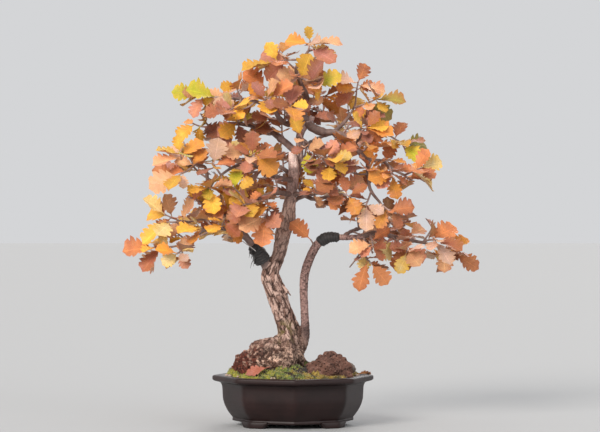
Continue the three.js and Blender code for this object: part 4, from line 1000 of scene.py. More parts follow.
# %% Leaf grid
STALK, STALK_HALF = 0.13, 0.85
LOBES = 4
LOBE_OUT = [0.74, 1.04, 1.15]
LOBE_LEAD = [-0.15, 0.0, 0.5]
OVAL = {"in": 1.05, "out": 0.66, "peak": 0.3197}
WAVE = {"high": 0.16, "count": 9}
PINCH = 1.8
MIDRIB = {"thick": 2.0, "taper": 0.6}
LEAF_CREASE = math.radians(60)
GOLDEN, GOLDEN_REST = 0.618, 0.382
COLUMNS = np.array([-1, 0, 1.0])
STEPS = len(LOBE_OUT) * LOBES + 2
ROW_SHARE = np.r_[0, STALK, mixed(STALK, 1, np.arange(1, STEPS + 1) / STEPS)]
on_blade = (ROW_SHARE > STALK) & (ROW_SHARE < 0.999)
in_lobe = (np.arange(len(ROW_SHARE)) - 2) % len(LOBE_OUT)
edge_scale = np.where(on_blade, np.array(LOBE_OUT)[in_lobe], 1)
lead = np.where(on_blade, np.array(LOBE_LEAD)[in_lobe] * (1 - STALK) / STEPS, 0)
GRID_ACROSS = COLUMNS * edge_scale[:, None]
GRID_SHARE = ROW_SHARE[:, None] + lead[:, None] * np.abs(COLUMNS)
GRID_PINCH = PINCH * np.abs(COLUMNS) * np.where(on_blade, edge_scale - 1, 0)[:, None]
GRID_DEPTH = MIDRIB["thick"] * (1 - MIDRIB["taper"] * ROW_SHARE[:, None]) + 0 * COLUMNS
inner = (slice(1, -1), slice(1, -1))
print("faces in a leaf:", 2 * 2 * (len(ROW_SHARE) - 1))

# %% Where the veins run
VEIN_SLANT = 1.5
vein_place = ((GRID_SHARE - STALK) / (1 - STALK) * STEPS - 3 - LOBE_LEAD[-1]) / len(LOBE_OUT)
vein_place = vein_place - VEIN_SLANT * np.abs(COLUMNS)
top_uv = np.stack([COLUMNS / 2 + 0.5 + 0 * vein_place, vein_place / 8 + 0.3], -1)
LEAF_UV = np.vstack([top_uv.reshape(-1, 2), top_uv[inner].reshape(-1, 2)])
print("veins are counted from", vein_place.min().round(2), "to", vein_place.max().round(2))


def half_width(width, share):
    """Half the blade's width at a share of the length: thin on the stalk, then an oval that is widest well
    past its middle, as one power of the way in times another of the way out."""
    q = np.clip((share - STALK) / (1 - STALK), 0, 1)
    oval = q ** OVAL["in"] * (1 - q) ** OVAL["out"] / OVAL["peak"]
    return np.where(share <= STALK, STALK_HALF, np.maximum(STALK_HALF * (1 - 0.6 * q), width / 2 * oval))


def blade_points(leaf, share, across):
    """Points of the blade: along it, half a width sideways, and a rise that folds it up from the midrib,
    waves it along its edges and lets its tip droop."""
    half = half_width(leaf["width"], share) * across
    rise = leaf["fold"] * np.abs(half) + WAVE["high"] * half * np.sin(WAVE["count"] * share + leaf["phase"])
    rise = rise - leaf["droop"] * leaf["length"] * share**2
    return (leaf["base"] + (share * leaf["length"])[..., None] * leaf["along"]
            + half[..., None] * leaf["side"] + rise[..., None] * leaf["face"])


def blade(leaf):
    """A leaf as (points, faces): the grid, its lobes pinched up and its notches down, and a lower midrib."""
    top = blade_points(leaf, GRID_SHARE, GRID_ACROSS) + GRID_PINCH[..., None] * leaf["face"]
    return lens_skin(top, top - GRID_DEPTH[..., None] * leaf["face"])


# %% [markdown]
# ## Leaf colours
# In autumn no two oak leaves match. Each leaf has a tone of its own, and a second tone that creeps in
# from its edge, further on some leaves than on others. The under side is paler. The shader then adds the
# veins, which it finds from the leaf's own coordinates, and small brown spots.

# %% Tones
TONES = {
    "Y": (244, 190, 70), "A": (236, 158, 54), "O": (220, 136, 80), "P": (240, 182, 130),
    "S": (214, 140, 104), "D": (190, 124, 108), "K": (234, 190, 168), "R": (166, 94, 66),
    "C": (244, 214, 150), "G": (192, 186, 46), "B": (174, 108, 62), "V": (156, 152, 60), "F": (166, 90, 64),
}
EDGE_TONE = dict(zip("YAOPSDKRCGBVF", "AORSDBPBYYRBD"))
BACK_TONES = {
    "leaf_amber": "AYOPA", "leaf_orange": "OASRY", "leaf_peach": "PKCSP", "leaf_yellow": "YAGCY",
    "leaf_rust": "ROBSA",
}
print("leaf tones:", len(TONES))


def leaf_tones(letter, count):
    """Colours of a leaf's grid and under side: the tone, the edge tone towards the edges, a slow drift along
    the blade, and clouds of the edge tone between."""
    main, edge = linear(TONES[letter]), linear(TONES[EDGE_TONE[letter]])
    spread = mixed(0.1, 0.8, (count * GOLDEN) % 1)
    drift = 0.35 * ((count * 0.4142) % 1) * GRID_SHARE
    spot = np.stack([1.4 * GRID_ACROSS, 4 * GRID_SHARE, 0.37 * count + 0 * GRID_SHARE], -1)
    cloud = noise(spot.reshape(-1, 3), 7).reshape(GRID_SHARE.shape) - 0.5
    share = spread * np.abs(GRID_ACROSS) + drift + 1.1 * cloud
    top = painted(share, main, edge) * mixed(0.68, 1.13, (count * 0.7321) % 1)
    under = mixed(top[inner], linear(TONES["C"]) * 0.8, 0.3)
    return np.clip(np.vstack([top.reshape(-1, 3), under.reshape(-1, 3)]), 0, 1)


# %% Leaf shader
def leaf_finish():
    """The tone attribute with veins and spots. Veins lie where the leaf's second coordinate, counted in side
    veins, is near a whole number, and along the middle of its first."""
    material = finish("oak_leaf", (0.42, 0.62), 420, 75, depth=0.0002, sheen=0.1, level=0.4, uneven=0.1)
    shader = material.node_tree.nodes["Principled BSDF"]
    split = add(material, "ShaderNodeSeparateXYZ")
    join(add(material, "ShaderNodeUVMap", uv_map="blade").outputs["UV"], split.inputs["Vector"])
    count = worked(material, "MULTIPLY_ADD", split.outputs["Y"], 8.0, 0.1)
    side = ranged(material, worked(material, "PINGPONG", count, 0.5), 1, 0, 0.0, 0.09)
    rib = ranged(material, worked(material, "PINGPONG", split.outputs["X"], 0.5), 0, 1, 0.46, 0.495)
    veins = worked(material, "MAXIMUM", side, rib)
    colour = shader.inputs["Base Color"].links[0].from_socket
    lit = times(material, colour, ranged(material, veins, 0.97, 1.24, 0, 1))
    spots = ranged(material, grain(material, 260, detail=4, rough=0.75), 1.0, 0.55, 0.64, 0.76)
    join(times(material, lit, spots), shader.inputs["Base Color"])
    join(bumped(material, veins, 0.0006, 0.8), shader.inputs["Normal"])
    return material


LEAF = leaf_finish()
print(LEAF.name, "has", len(LEAF.node_tree.nodes), "nodes")

# %% [markdown]
# ## Sprays
# Leaves sit on short shoots at the branch ends. Every shoot has its twig's points and a list of leaves:
# how far along the twig each starts, its direction in the front view in degrees, its length, and how
# far it leans to the front. The letters give the tones in the same order. Three shoots fork from another
# one and belong to its spray, and the start of each twig is bare. These are the sprays that the packed
# model holds, so each piece here replaces the node of its name.

# %% Shoots
# A front shoot is its leaves' tones, its twig's points, and for each leaf place, direction, length, lean.
SHOOTS = {
    "apex_top": ("YAPKD", [[28, -2, 687], [30, -6, 695], [31, -8, 704]], [[1, 96, 29, 18],
        [0.7, 170, 48, -14], [0.55, 10, 60, 10], [0.9, 5, 38, 38], [0, 333, 60, 24]]),
    "apex_left": ("YSYOKR", [[17, 0, 671], [-2, -8, 671], [-20, -14, 668], [-37, -18, 666]],
        [[0.75, 116, 40, 12], [0.25, 162, 56, -22], [1, 193, 60, 8], [0.35, 196, 45, 30], [0.12, 206, 57, 14],
        [0.3, 227, 52, -16]]),
    "apex_mid": ("DBAGKY", [[11, 4, 638], [24, -10, 634], [33, -20, 626], [40, -26, 622]],
        [[0.35, 65, 53, 26], [0.08, 28, 40, -10], [0.3, 308, 32, 40], [1, 25, 53, 8], [0.9, 331, 42, 22],
        [0.75, 303, 35, -12]]),
    "left_top_end": ("GYSGPK", [[-118, -2, 599], [-137, 2, 602], [-155, 4, 604], [-174, 6, 606]],
        [[1, 169, 50, 10], [1, 206, 43, -18], [0.75, 239, 45, 20], [0.1, 162, 60, 26], [0, 29, 60, -20],
        [0.3, 328, 54, 30]]),
    "left_top_low": ("ROKC", [[-95, -8, 599], [-100, -30, 587], [-114, -48, 577]], [[1, 188, 48, 8],
        [0.95, 211, 58, 30], [0.6, 315, 45, -24], [0.8, 114, 34, 24]]),
    "left_shoulder": ("ODAP", [[-57, -17, 589], [-50, -34, 597], [-41, -50, 600]], [[0.9, 32, 50, 8],
        [0.3, 127, 40, 20], [0.8, 307, 28, -16], [0.1, 163, 33, -24]]),
    "centre_star": ("DAOY", [[-15, -16, 556], [-9, -40, 574], [-4, -62, 585]], [[0.6, 78, 59, -30],
        [1, 288, 50, 55], [0.5, 176, 28, 10], [0.9, 9, 33, 26]]),
    "left_upper_end": ("YYDA", [[-155, 71, 550], [-174, 76, 552], [-185, 70, 556]], [[0.9, 217, 42, 12],
        [0.3, 273, 33, 26], [0.02, 337, 52, 30], [1, 160, 34, -22]]),
    "left_upper_mid": ("GYDR", [[-91, 54, 555], [-98, 30, 558], [-103, 12, 556]], [[0.8, 29, 36, 14],
        [1, 221, 42, 20], [0.9, 288, 39, 35], [0.6, 149, 30, -12]]),
    "left_outer": ("YYPA", [[-198, -68, 472], [-201, -76, 485], [-204, -84, 498]], [[1, 99, 33, 14],
        [0.9, 170, 45, 10], [0.5, 188, 55, 24], [0.7, 37, 51, -14]]),
    "left_outer_low": ("PYOKA", [[-178, -62, 477], [-188, -84, 467], [-203, -104, 459]], [[1, 201, 60, 14],
        [0.9, 226, 53, 28], [0.45, 185, 35, -18], [0.75, 276, 31, 36], [0.05, 53, 51, 12]]),
    "left_mid_end": ("KOAD", [[-130, -74, 458], [-139, -84, 471], [-144, -92, 478]], [[0.8, 79, 50, 10],
        [0.7, 16, 40, 16], [1, 141, 42, -20], [0.4, 203, 40, 30]]),
    "left_big": ("YOP", [[-156, -51, 442], [-154, -74, 438], [-150, -92, 434]], [[1, 280, 47, 10],
        [0.5, 213, 40, -20], [0.7, 7, 46, 20]]),
    "node_left": ("ARSO", [[-76, -48, 479], [-78, -70, 489], [-70, -92, 496]], [[1, 321, 54, 12],
        [0.6, 147, 35, 10], [0.3, 251, 34, 30], [0.95, 36, 39, -18]]),
    "front_left_end": ("CROS", [[-72, -84, 409], [-79, -94, 406], [-88, -104, 404]], [[0.8, 136, 45, 8],
        [1, 229, 40, 16], [0.2, 51, 31, -16], [0.6, 109, 46, 30]]),
    "front_left_low": ("DOPS", [[-48, -58, 419], [-45, -78, 398], [-50, -92, 382]], [[0.35, 327, 34, 12],
        [1, 263, 54, 14], [0.95, 204, 55, 8], [0.85, 322, 47, 28]]),
    "left_drop_mid": ("RAOP", [[-125, -52, 360], [-129, -70, 366], [-125, -86, 375]], [[0.9, 320, 40, 14],
        [0.5, 321, 50, -14], [1, 122, 35, 10], [0.95, 40, 41, 26]]),
    "left_fan_end": ("CYRP", [[-145, -62, 362], [-160, -56, 377], [-187, -50, 374], [-206, -47, 376],
        [-218, -54, 380], [-231, -60, 386]], [[1, 142, 51, 10], [0.8, 172, 46, -26], [0.45, 223, 41, 30],
        [0.35, 107, 47, 14]]),
    "left_fan_low": ("YCPA", [[-187, -50, 373], [-204, -76, 373], [-225, -98, 373]], [[1, 216, 60, 12],
        [0.85, 224, 53, 30], [0.1, 73, 50, 16], [0.95, 180, 41, -20]]),
    "left_drop_end": ("OCPRP", [[-199, -84, 332], [-222, -92, 328], [-247, -98, 328]], [[1, 185, 60, 8],
        [0.25, 128, 28, 26], [0.05, 12, 38, 20], [0.7, 231, 56, 12], [0.8, 237, 60, -16]]),
    "left_drop_low": ("CSA", [[-208, -87, 330], [-202, -104, 322], [-206, -118, 317]], [[0.85, 215, 36, 10],
        [0.6, 297, 35, 20], [1, 162, 42, -20]]),
    "left_low_top": ("AOS", [[-108, -36, 369], [-97, -20, 388], [-92, -8, 402]], [[1, 136, 44, 12],
        [0.95, 44, 42, 18], [0.7, 160, 38, -14]]),
    "front_right_mid": ("SOPY", [[38, -46, 415], [40, -62, 426], [42, -72, 435]], [[1, 63, 41, 14],
        [0.6, 29, 56, 8], [0, 300, 33, 24], [0.8, 141, 30, -10]]),
    "front_right_end": ("BOAR", [[80, -74, 422], [90, -88, 424], [101, -98, 420]], [[1, 37, 38, 10],
        [0.3, 229, 37, 20], [0.9, 299, 41, 24], [0.7, 97, 36, -22]]),
    "front_mid_low": ("GDP", [[20, -8, 522], [22, -34, 512], [25, -52, 502]], [[1, 281, 42, 16],
        [0.5, 197, 28, 10], [0.8, 25, 42, 18]]),
    "front_mid_end": ("SOYC", [[49, -72, 492], [58, -90, 489], [70, -102, 488]], [[0.5, 65, 36, 12],
        [0.85, 28, 56, 8], [0.8, 321, 42, 26], [1, 6, 39, -20]]),
    "right_up_end": ("KPOR", [[105, 25, 570], [115, 33, 591], [117, 36, 608], [118, 26, 619],
        [120, 18, 630]], [[1, 171, 45, 8], [0.8, 353, 53, 14], [1, 68, 42, -16], [0.3, 212, 47, 20]]),
    "right_up_low": ("VYVO", [[112, 31, 584], [125, 12, 588], [140, -8, 593], [154, -16, 599]],
        [[0.9, 1, 56, 10], [0.9, 311, 33, 22], [0.45, 330, 57, -14], [0.1, 248, 28, 26]]),
    "right_shoulder_low": ("AKDB", [[120, -2, 526], [126, -24, 538], [133, -40, 544]], [[0.9, 349, 54, 8],
        [0.5, 205, 34, 22], [0.8, 151, 36, -14], [1, 51, 40, 16]]),
    "right_shoulder_end": ("OBVGO", [[174, 28, 536], [191, 24, 525], [205, 18, 517]], [[0.1, 64, 42, -22],
        [0.9, 13, 42, 10], [1, 0, 60, -14], [0.95, 316, 48, 24], [0.2, 241, 42, 20]]),
    "right_main_end": ("CROC", [[202, -42, 458], [216, -52, 464], [231, -60, 471]], [[1, 18, 44, -16],
        [1, 328, 39, 16], [0.6, 61, 45, 14], [0.35, 329, 58, -24]]),
    "right_main_mid": ("ASOP", [[175, -34, 475], [178, -58, 466], [179, -74, 456]], [[1, 282, 43, 12],
        [0.8, 222, 40, 14], [0.4, 16, 41, 10], [0.5, 175, 48, -20]]),
    "right_hang_end": ("OBRA", [[158, -72, 406], [168, -88, 398], [178, -98, 391]], [[0.6, 8, 47, 8],
        [0.9, 305, 33, 14], [1, 340, 56, -20], [0.4, 241, 41, 18]]),
    "right_hang_mid": ("BAKR", [[142, -57, 429], [137, -76, 415], [132, -92, 404]], [[0.6, 196, 58, 8],
        [1, 216, 54, 14], [0.9, 269, 51, 30], [0.3, 163, 35, -18]]),
    "right_low_mid": ("OPRC", [[141, -13, 350], [144, -36, 340], [145, -54, 331]], [[0.3, 37, 40, 10],
        [0.8, 192, 45, 16], [1, 309, 37, 30], [0.9, 333, 51, 12]]),
    "right_low_end": ("ORK", [[239, 16, 335], [251, 2, 340], [263, -8, 340]], [[0.5, 32, 55, -12],
        [1, 344, 58, 8], [0.8, 306, 57, 20]]),
    "right_low_tip": ("OPA", [[266, 22, 329], [283, 30, 322], [300, 36, 313]], [[1, 332, 52, 6],
        [0.2, 266, 44, 18], [0.6, 38, 44, -16]]),
    "right_low_hang": ("CPRS", [[210, 8, 340], [209, -14, 328], [208, -30, 319]], [[1, 251, 43, 10],
        [0.8, 311, 47, 18], [0.2, 96, 34, -12], [0.5, 172, 37, 22]]),
    "hanging_pair": ("OB", [[130, -14, 346], [132, -30, 324], [133, -40, 309], [142, -48, 298]],
        [[0.72, 250, 60, 12], [1, 309, 50, 10]]),
    "single_leaf": ("O", [[39, -9, 327], [36, -22, 335], [33, -30, 340]], [[1, 135, 50, 10]]),
}
FORK_OF = {"left_fan_low": "left_fan_end", "left_drop_low": "left_drop_end", "right_up_low": "right_up_end"}
BARE, BARE_OF = 0.35, {"left_fan_end": 0.72, "right_up_end": 0.55}
BACK_LEAVES, BACK_OPENING, BACK_LENGTH = 5, (1.25, 0.45), (40, 54)
BACK_SHOOTS = {
    "back_top_end": [[2, 80, 603], [-6, 104, 617], [-13, 122, 633]],
    "back_top_side": [[11, 50, 592], [39, 70, 604], [62, 92, 609]],
    "back_right_end": [[74, 128, 539], [93, 152, 546], [113, 172, 554]],
    "back_right_side": [[35, 60, 522], [47, 86, 493], [55, 108, 471]],
    "back_left_end": [[-66, 122, 492], [-85, 144, 498], [-105, 164, 506]],
    "back_left_side": [[-20, 50, 473], [-43, 76, 451], [-66, 100, 437]],
    "back_low_end": [[59, 126, 428], [78, 148, 430], [101, 168, 434]],
    "back_right_low_end": [[156, 96, 364], [179, 112, 369], [202, 128, 373]],
    "back_left_low_end": [[-118, 98, 365], [-138, 118, 373], [-161, 136, 380]],
}
twigs = {name: np.array(twig, float) for name, (_, twig, _) in SHOOTS.items()}
twigs.update({name: np.array(points, float) for name, points in BACK_SHOOTS.items()})
print("shoots:", len(SHOOTS), "in front and", len(BACK_SHOOTS), "behind")

# %% [markdown]
# ## Placing the leaves
# A leaf must not cut through its neighbours. Each placed leaf and twig is remembered as a row of balls,
# and a new leaf leans a little further to either side, or comes out a little smaller, until its own balls
# are clear of all others. Its width, roll, fold, droop and wave are evenly scattered numbers, the
# fractions of multiples of a square root, so that the same tree grows each time.

# %% A leaf's frame and traits
TRAITS = {"width": 2, "roll": 3, "fold": 5, "droop": 7, "wave": 11}


def scatter(count, trait):
    """A leaf's number from 0 to 1 for a trait: the fraction of its count times a square root."""
    return ((count + 1) * math.sqrt(TRAITS[trait])) % 1


def unit(v):
    """The direction of v: v over its length."""
    return v / np.linalg.norm(v)


def upright(along):
    """The direction nearest to straight up that is square to a unit direction."""
    return unit(np.array([0, 0, 1]) - along[2] * along)


def from_axis(place):
    """The level direction from the pot's axis to a place."""
    return unit(np.array([place[0], place[1], 0]))


def turned(v, axis, angle):
    """v turned about a unit axis: its part along the axis stays, and the rest swings round."""
    c, s = math.cos(angle), math.sin(angle)
    return v * c + np.cross(axis, v) * s + axis * (axis @ v) * (1 - c)


def leaf_at(count, base, along, facing, length, width=None):
    """A leaf whose face looks as nearly as it can to facing, after a small roll of its own."""
    face = turned(unit(facing - (facing @ along) * along), along, (scatter(count, "roll") - 0.5) * 1.05)
    return {
        "base": base, "along": along, "face": face, "side": np.cross(face, along), "length": length,
        "width": length * (0.58 + 0.18 * scatter(count, "width")) if width is None else width,
        "fold": 0.1 + 0.4 * scatter(count, "fold"), "droop": 0.03 + 0.2 * scatter(count, "droop"),
        "phase": 2 * math.pi * scatter(count, "wave"),
    }


# %% Room for each leaf
# Room is a leaf's ball radius, what is added to wood, and the share that is enough within one spray.
ROOM = {"leaf": 3.7, "wood": 1.2, "same": 0.95}
LEANS = [0, 14, -14, 28, -28, 42, -42, 56, -56]
SCALES = [1, 0.85, 0.7]
BALL_SHARE = np.r_[np.repeat([0.32, 0.48, 0.64, 0.8], 3), 0.97]
BALL_ACROSS = np.r_[np.tile([-0.9, 0, 0.9], 4), 0]
taken = {"at": np.empty((0, 3)), "radius": np.empty(0), "owner": np.empty(0, int), "wood": np.empty(0, bool)}
owner_numbers = {"trunk": 0}


def take(at, radius, owner, wood):
    """Remembers balls as taken by the leaves or the wood of an owner."""
    number = owner_numbers.setdefault(owner, len(owner_numbers))
    for key, value in {"at": at, "radius": radius, "owner": number, "wood": wood}.items():
        rows = np.broadcast_to(value, (len(at), *taken[key].shape[1:]))
        taken[key] = np.concatenate([taken[key], rows])


def first_clear(tries, owner, base, length, same=ROOM["same"], room=ROOM["leaf"], allowed=None):
    """The first leaf whose balls are clear of everything taken, apart from its own twig, or None. Only what
    lies within a leaf's length of its base is looked at."""
    own = taken["owner"] == owner_numbers[owner]
    near = ((taken["at"] - base) ** 2).sum(1) < (length + 12 + taken["radius"]) ** 2
    others = near & ~(own & taken["wood"])
    at, radius, own = taken["at"][others], taken["radius"][others], own[others]
    reach = ((room + radius) * np.where(own, same, 1)) ** 2
    for leaf in tries:
        balls = blade_points(leaf, BALL_SHARE, BALL_ACROSS)
        if (((balls[:, None] - at) ** 2).sum(-1) >= reach).all() and (allowed is None or allowed(balls)):
            take(balls, room, owner, False)
            return leaf
    return None


def take_wood(owner, rows):
    """Balls every 5 mm along a branch of [x, y, z, radius], each as wide as it is there."""
    rows = np.asarray(rows, float)
    marks = marks_along(rows, 5)
    take(line_at(rows, marks)[0], radius_at(rows, marks) + ROOM["wood"], owner, True)


TWIG_RADIUS = (2.0, 1.3)
for points in WOOD.values():
    take_wood("trunk", points)
for name, twig in twigs.items():
    take_wood(FORK_OF.get(name, name), np.c_[twig, np.full(len(twig), TWIG_RADIUS[0])])
print("room taken by wood:", len(taken["at"]), "balls")

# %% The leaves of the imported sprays
FRONT_LIGHT = np.array([0, -0.72, 0.69])
SPIRAL = math.radians(137.5)
grown = {}
leaf_counts = itertools.count()


def front_direction(angle, lean):
    """The direction at an angle in the front view, leaning towards the eye, both in degrees."""
    a, t = math.radians(angle), math.radians(lean)
    return np.array([math.cos(a) * math.cos(t), -math.sin(t), math.sin(a) * math.cos(t)])


def on_twig(twig, place):
    """A twig's point and direction at a share of its way, counted evenly over its spans."""
    base, along = line_at(twig, np.array([place * (len(twig) - 1)]))
    return base[0], along[0]


def spiral_tries(count, base, along, turn, opening, length, facing, level=1.0):
    """Leaves that open from the twig at an angle, each try turned a little further round it. A level below 1
    lays them flatter than that."""
    for scale in SCALES:
        for more in LEANS:
            away = turned(upright(along), along, turn + math.radians(more))
            direction = along * math.cos(opening) + away * math.sin(opening)
            yield leaf_at(count, base, unit(direction * [1, 1, level]), facing, length * scale)


def keep(name, letter, leaf, count):
    """Remembers a leaf that found room, with its tone's letter and its count."""
    if leaf is not None:
        grown.setdefault(name, []).append((letter, count, leaf))


def leaf_total():
    """How many leaves have grown so far."""
    return sum(map(len, grown.values()))


for name, (letters, _, leaves) in SHOOTS.items():
    on = FORK_OF.get(name, name)
    for letter, (place, angle, length, lean) in zip(letters, leaves):
        count = next(leaf_counts)
        base, _ = on_twig(twigs[name], mixed(BARE_OF.get(name, BARE), 1, place))
        tries = (leaf_at(count, base, front_direction(angle, lean + more), FRONT_LIGHT, length * scale)
                 for scale in SCALES for more in LEANS)
        keep(on, letter, first_clear(tries, on, base, length), count)
for name in BACK_SHOOTS:
    for k, letter in enumerate(BACK_TONES[SLOT_OF[name]]):
        count = next(leaf_counts)
        base, along = on_twig(twigs[name], mixed(BARE, 1, (k + 1) / BACK_LEAVES))
        opening = mixed(*BACK_OPENING, k / (BACK_LEAVES - 1))
        length = mixed(*BACK_LENGTH, scatter(count, "width"))
        tries = spiral_tries(count, base, along, k * SPIRAL, opening, length, from_axis(base) + [0, 0, 1])
        keep(name, letter, first_clear(tries, name, base, length), count)
print("leaves as packed:", leaf_total())

# %% [markdown]
# ## More leaves
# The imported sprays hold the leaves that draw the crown. A real crown is fuller: each shoot has small
# leaves between its large ones, and all along the thin branches there are short side shoots. They are
# added by the same rule, only where there is room, and lie flat, so that the crown keeps its tiers with
# gaps between them. None hangs in front of the trunks or of the lone leaf, which stay in view. The crown's
# outline and its largest gaps were measured on the photograph, in the plane of the pot's axis.

# %% Where leaves may not hang
# What stays clear in front of a trunk: the width at each side, and the lowest and highest height.
KEEP_CLEAR = {"trunk": (17, 130, 516), "second_trunk": (15, 130, 352)}
IN_FRONT = 12
CROWN_OUTLINE = [
    (-44, 703), (8, 708), (40, 704), (78, 694), (80, 661), (98, 643), (149, 634), (172, 616), (204, 605),
    (199, 594), (160, 584), (172, 561), (206, 528), (264, 508), (266, 478), (250, 436), (220, 441),
    (197, 416), (231, 384), (289, 364), (323, 330), (325, 300), (264, 281), (208, 281), (167, 259),
    (137, 255), (105, 317), (86, 344), (86, 367), (54, 398), (8, 398), (-26, 363), (-38, 335), (-125, 335),
    (-139, 354), (-180, 337), (-185, 303), (-203, 296), (-272, 267), (-288, 280), (-279, 300), (-320, 321),
    (-295, 354), (-272, 390), (-252, 413), (-260, 450), (-258, 492), (-212, 520), (-185, 549), (-171, 568),
    (-194, 591), (-224, 611), (-206, 622), (-148, 626), (-116, 634), (-95, 655), (-61, 674),
]
# A gap is its left, right, lower and upper edge.
GAPS = [
    (-12, 46, 326, 394), (10, 42, 384, 422), (128, 170, 406, 438), (165, 204, 396, 420), (90, 128, 418, 458),
    (-246, -212, 436, 450), (-214, -172, 450, 464), (20, 76, 518, 534), (18, 46, 532, 552),
    (-20, 2, 512, 540), (44, 88, 648, 662), (-57, -28, 510, 531), (58, 90, 384, 400), (87, 127, 354, 371),
    (78, 97, 562, 589), (160, 200, 491, 505), (101, 122, 533, 551), (-95, -70, 340, 358),
    (-266, -223, 371, 391), (24, 52, 452, 464),
]
GAP_LOW, GAP_HIGH = np.array(GAPS, float)[:, 0::2], np.array(GAPS, float)[:, 1::2]


def in_front_view(points):
    """Where points appear in the photograph, as x and z in the plane of the pot's axis: they draw in towards
    the eye's x and z as they lie further off."""
    x, y, z = EYE
    share = -y / (points[:, 1] - y)
    return np.stack([x + (points[:, 0] - x) * share, z + (points[:, 2] - z) * share], -1)


def within(outline, places):
    """Whether each place lies in a closed outline: a line to its right meets an odd number of sides."""
    a = np.array(outline, float)
    b = np.roll(a, -1, axis=0)
    x, z = places[:, None, 0], places[:, None, 1]
    meets = (a[:, 1] > z) != (b[:, 1] > z)
    rise = np.where(a[:, 1] == b[:, 1], 1, b[:, 1] - a[:, 1])
    return (meets & (x < a[:, 0] + (z - a[:, 1]) / rise * (b[:, 0] - a[:, 0]))).sum(1) % 2 == 1


def keeps_gaps(balls):
    """True if every ball appears within the crown's outline and outside its gaps."""
    places = in_front_view(balls)
    in_gap = ((places[:, None] > GAP_LOW) & (places[:, None] < GAP_HIGH)).all(-1)
    return within(CROWN_OUTLINE, places).all() and not in_gap.any()


def dense_line(points):
    """Six points of the smooth line for each given one."""
    return line_at(points, np.linspace(0, len(points) - 1, 6 * len(points)))[0]


trunk_lines = [(dense_line(WOOD[name]), *limits) for name, limits in KEEP_CLEAR.items()]


def shows_trunks(balls):
    """True if the balls keep the crown's gaps, and none lies in front of a trunk, between the heights given
    and within a width of its line."""
    if not keeps_gaps(balls):
        return False
    for line, width, low, high in trunk_lines:
        front = balls[(balls[:, 1] < IN_FRONT) & (balls[:, 2] > low) & (balls[:, 2] < high)]
        apart = np.hypot(front[:, None, 0] - line[:, 0], front[:, None, 2] - line[:, 2])
        if (apart < width).any():
            return False
    return True


# %% Filling a twig
# Small leaves keep less room than packed ones. Between the two high marks they turn to the front, and the
# other heights and the middle's half width bound the regions of tones.
MORE_ROOM, MORE_SAME = 2.7, 0.8
FLAT_LIGHT, HIGH_LIGHT, HIGH = np.array([0, -0.5, 0.87]), np.array([0, -0.86, 0.5]), (470, 660)
FLAT, FILL_LEAVES, FILL_OPENING = 0.5, 5, (1.35, 0.6)
TOP, LOW, RIGHT_TOP, MIDDLE = 590, 430, 515, 80
REGION_TONES = {
    "left": "YPGSKOYDAYCBYASG", "left low": "YCAPOYKRYCSD", "top": "YAOYPKYADCP", "middle": "SDBOYRASPKB",
    "right top": "YGAPSOYDVAPCOS", "right": "OSBRADSAOBRSBG", "right low": "OPSKRDOCSDBK",
}


def tone_at(base, count):
    """A tone that is common in that part of the crown."""
    x, _, z = base
    region = "top" if z > TOP else "middle" if abs(x) < MIDDLE else "left" if x < 0 else "right"
    if z < LOW and region != "middle":
        region += " low"
    elif z > RIGHT_TOP and region == "right":
        region += " top"
    tones = REGION_TONES[region]
    return tones[count * 7 % len(tones)]


def fill(name, twig, bare, shortest, longest):
    """Up to five leaves on a twig, from its bare start to its tip, each turned by the golden angle. High in
    the crown they turn further to the front."""
    for k in range(FILL_LEAVES):
        count = next(leaf_counts)
        base, along = on_twig(twig, mixed(bare, 1, 1 if k == 0 else (k * GOLDEN_REST) % 1))
        light = mixed(FLAT_LIGHT, HIGH_LIGHT, ramp(base[2], *HIGH))
        facing = light + 0.5 * from_axis(base) * (base[1] > 0)
        opening = mixed(*FILL_OPENING, scatter(count, "fold"))
        length = mixed(shortest, longest, scatter(count, "width"))
        tries = spiral_tries(count, base, along, k * SPIRAL + count, opening, length, facing, FLAT)
        leaf = first_clear(tries, name, base, length, MORE_SAME, MORE_ROOM, shows_trunks)
        keep(name, tone_at(base, count), leaf, count)


# %% Leaves between the large ones
BETWEEN_LENGTH = (32, 50)
before = leaf_total()
for name, twig in twigs.items():
    if name != "single_leaf":
        fill(FORK_OF.get(name, name), twig, BARE_OF.get(name, BARE), *BETWEEN_LENGTH)
print("leaves between:", leaf_total() - before)

# %% Side shoots along the thin branches
SIDE = {"step": 24, "first": 0.3, "length": (24, 40), "radius": 1.6, "bare": 0.3, "leaves": (34, 54)}
SIDE_WAY = {"along": 0.5, "up": 0.25, "curl": 0.12, "clear": 1.5}
SIDE_TURNS = (0, 0.5, -0.5, 1.0, -1.0, 1.6, -1.6)
NO_SHOOTS = [*KNOTS, "twig_left"]
spray_tips = np.array([twig[-1] for twig in twigs.values()])
spray_names = [FORK_OF.get(name, name) for name in twigs]


def side_twig(base, along, turn, length):
    """A short twig that leaves the branch sideways and rises a little, or None if it has no way out."""
    for more in SIDE_TURNS:
        away = turned(upright(along), along, turn + more)
        way = unit(SIDE_WAY["along"] * along + away + [0, 0, SIDE_WAY["up"]])
        twig = base + np.array([0, 0.5, 1])[:, None] * way * length
        twig[-1, 2] += SIDE_WAY["curl"] * length
        spots = mixed(twig[0], twig[-1], np.linspace(0.45, 1, 4)[:, None])
        apart = ((spots[:, None] - taken["at"]) ** 2).sum(-1) - (taken["radius"] + SIDE_WAY["clear"]) ** 2
        if (apart > 0).all() and shows_trunks(spots):
            return twig
    return None


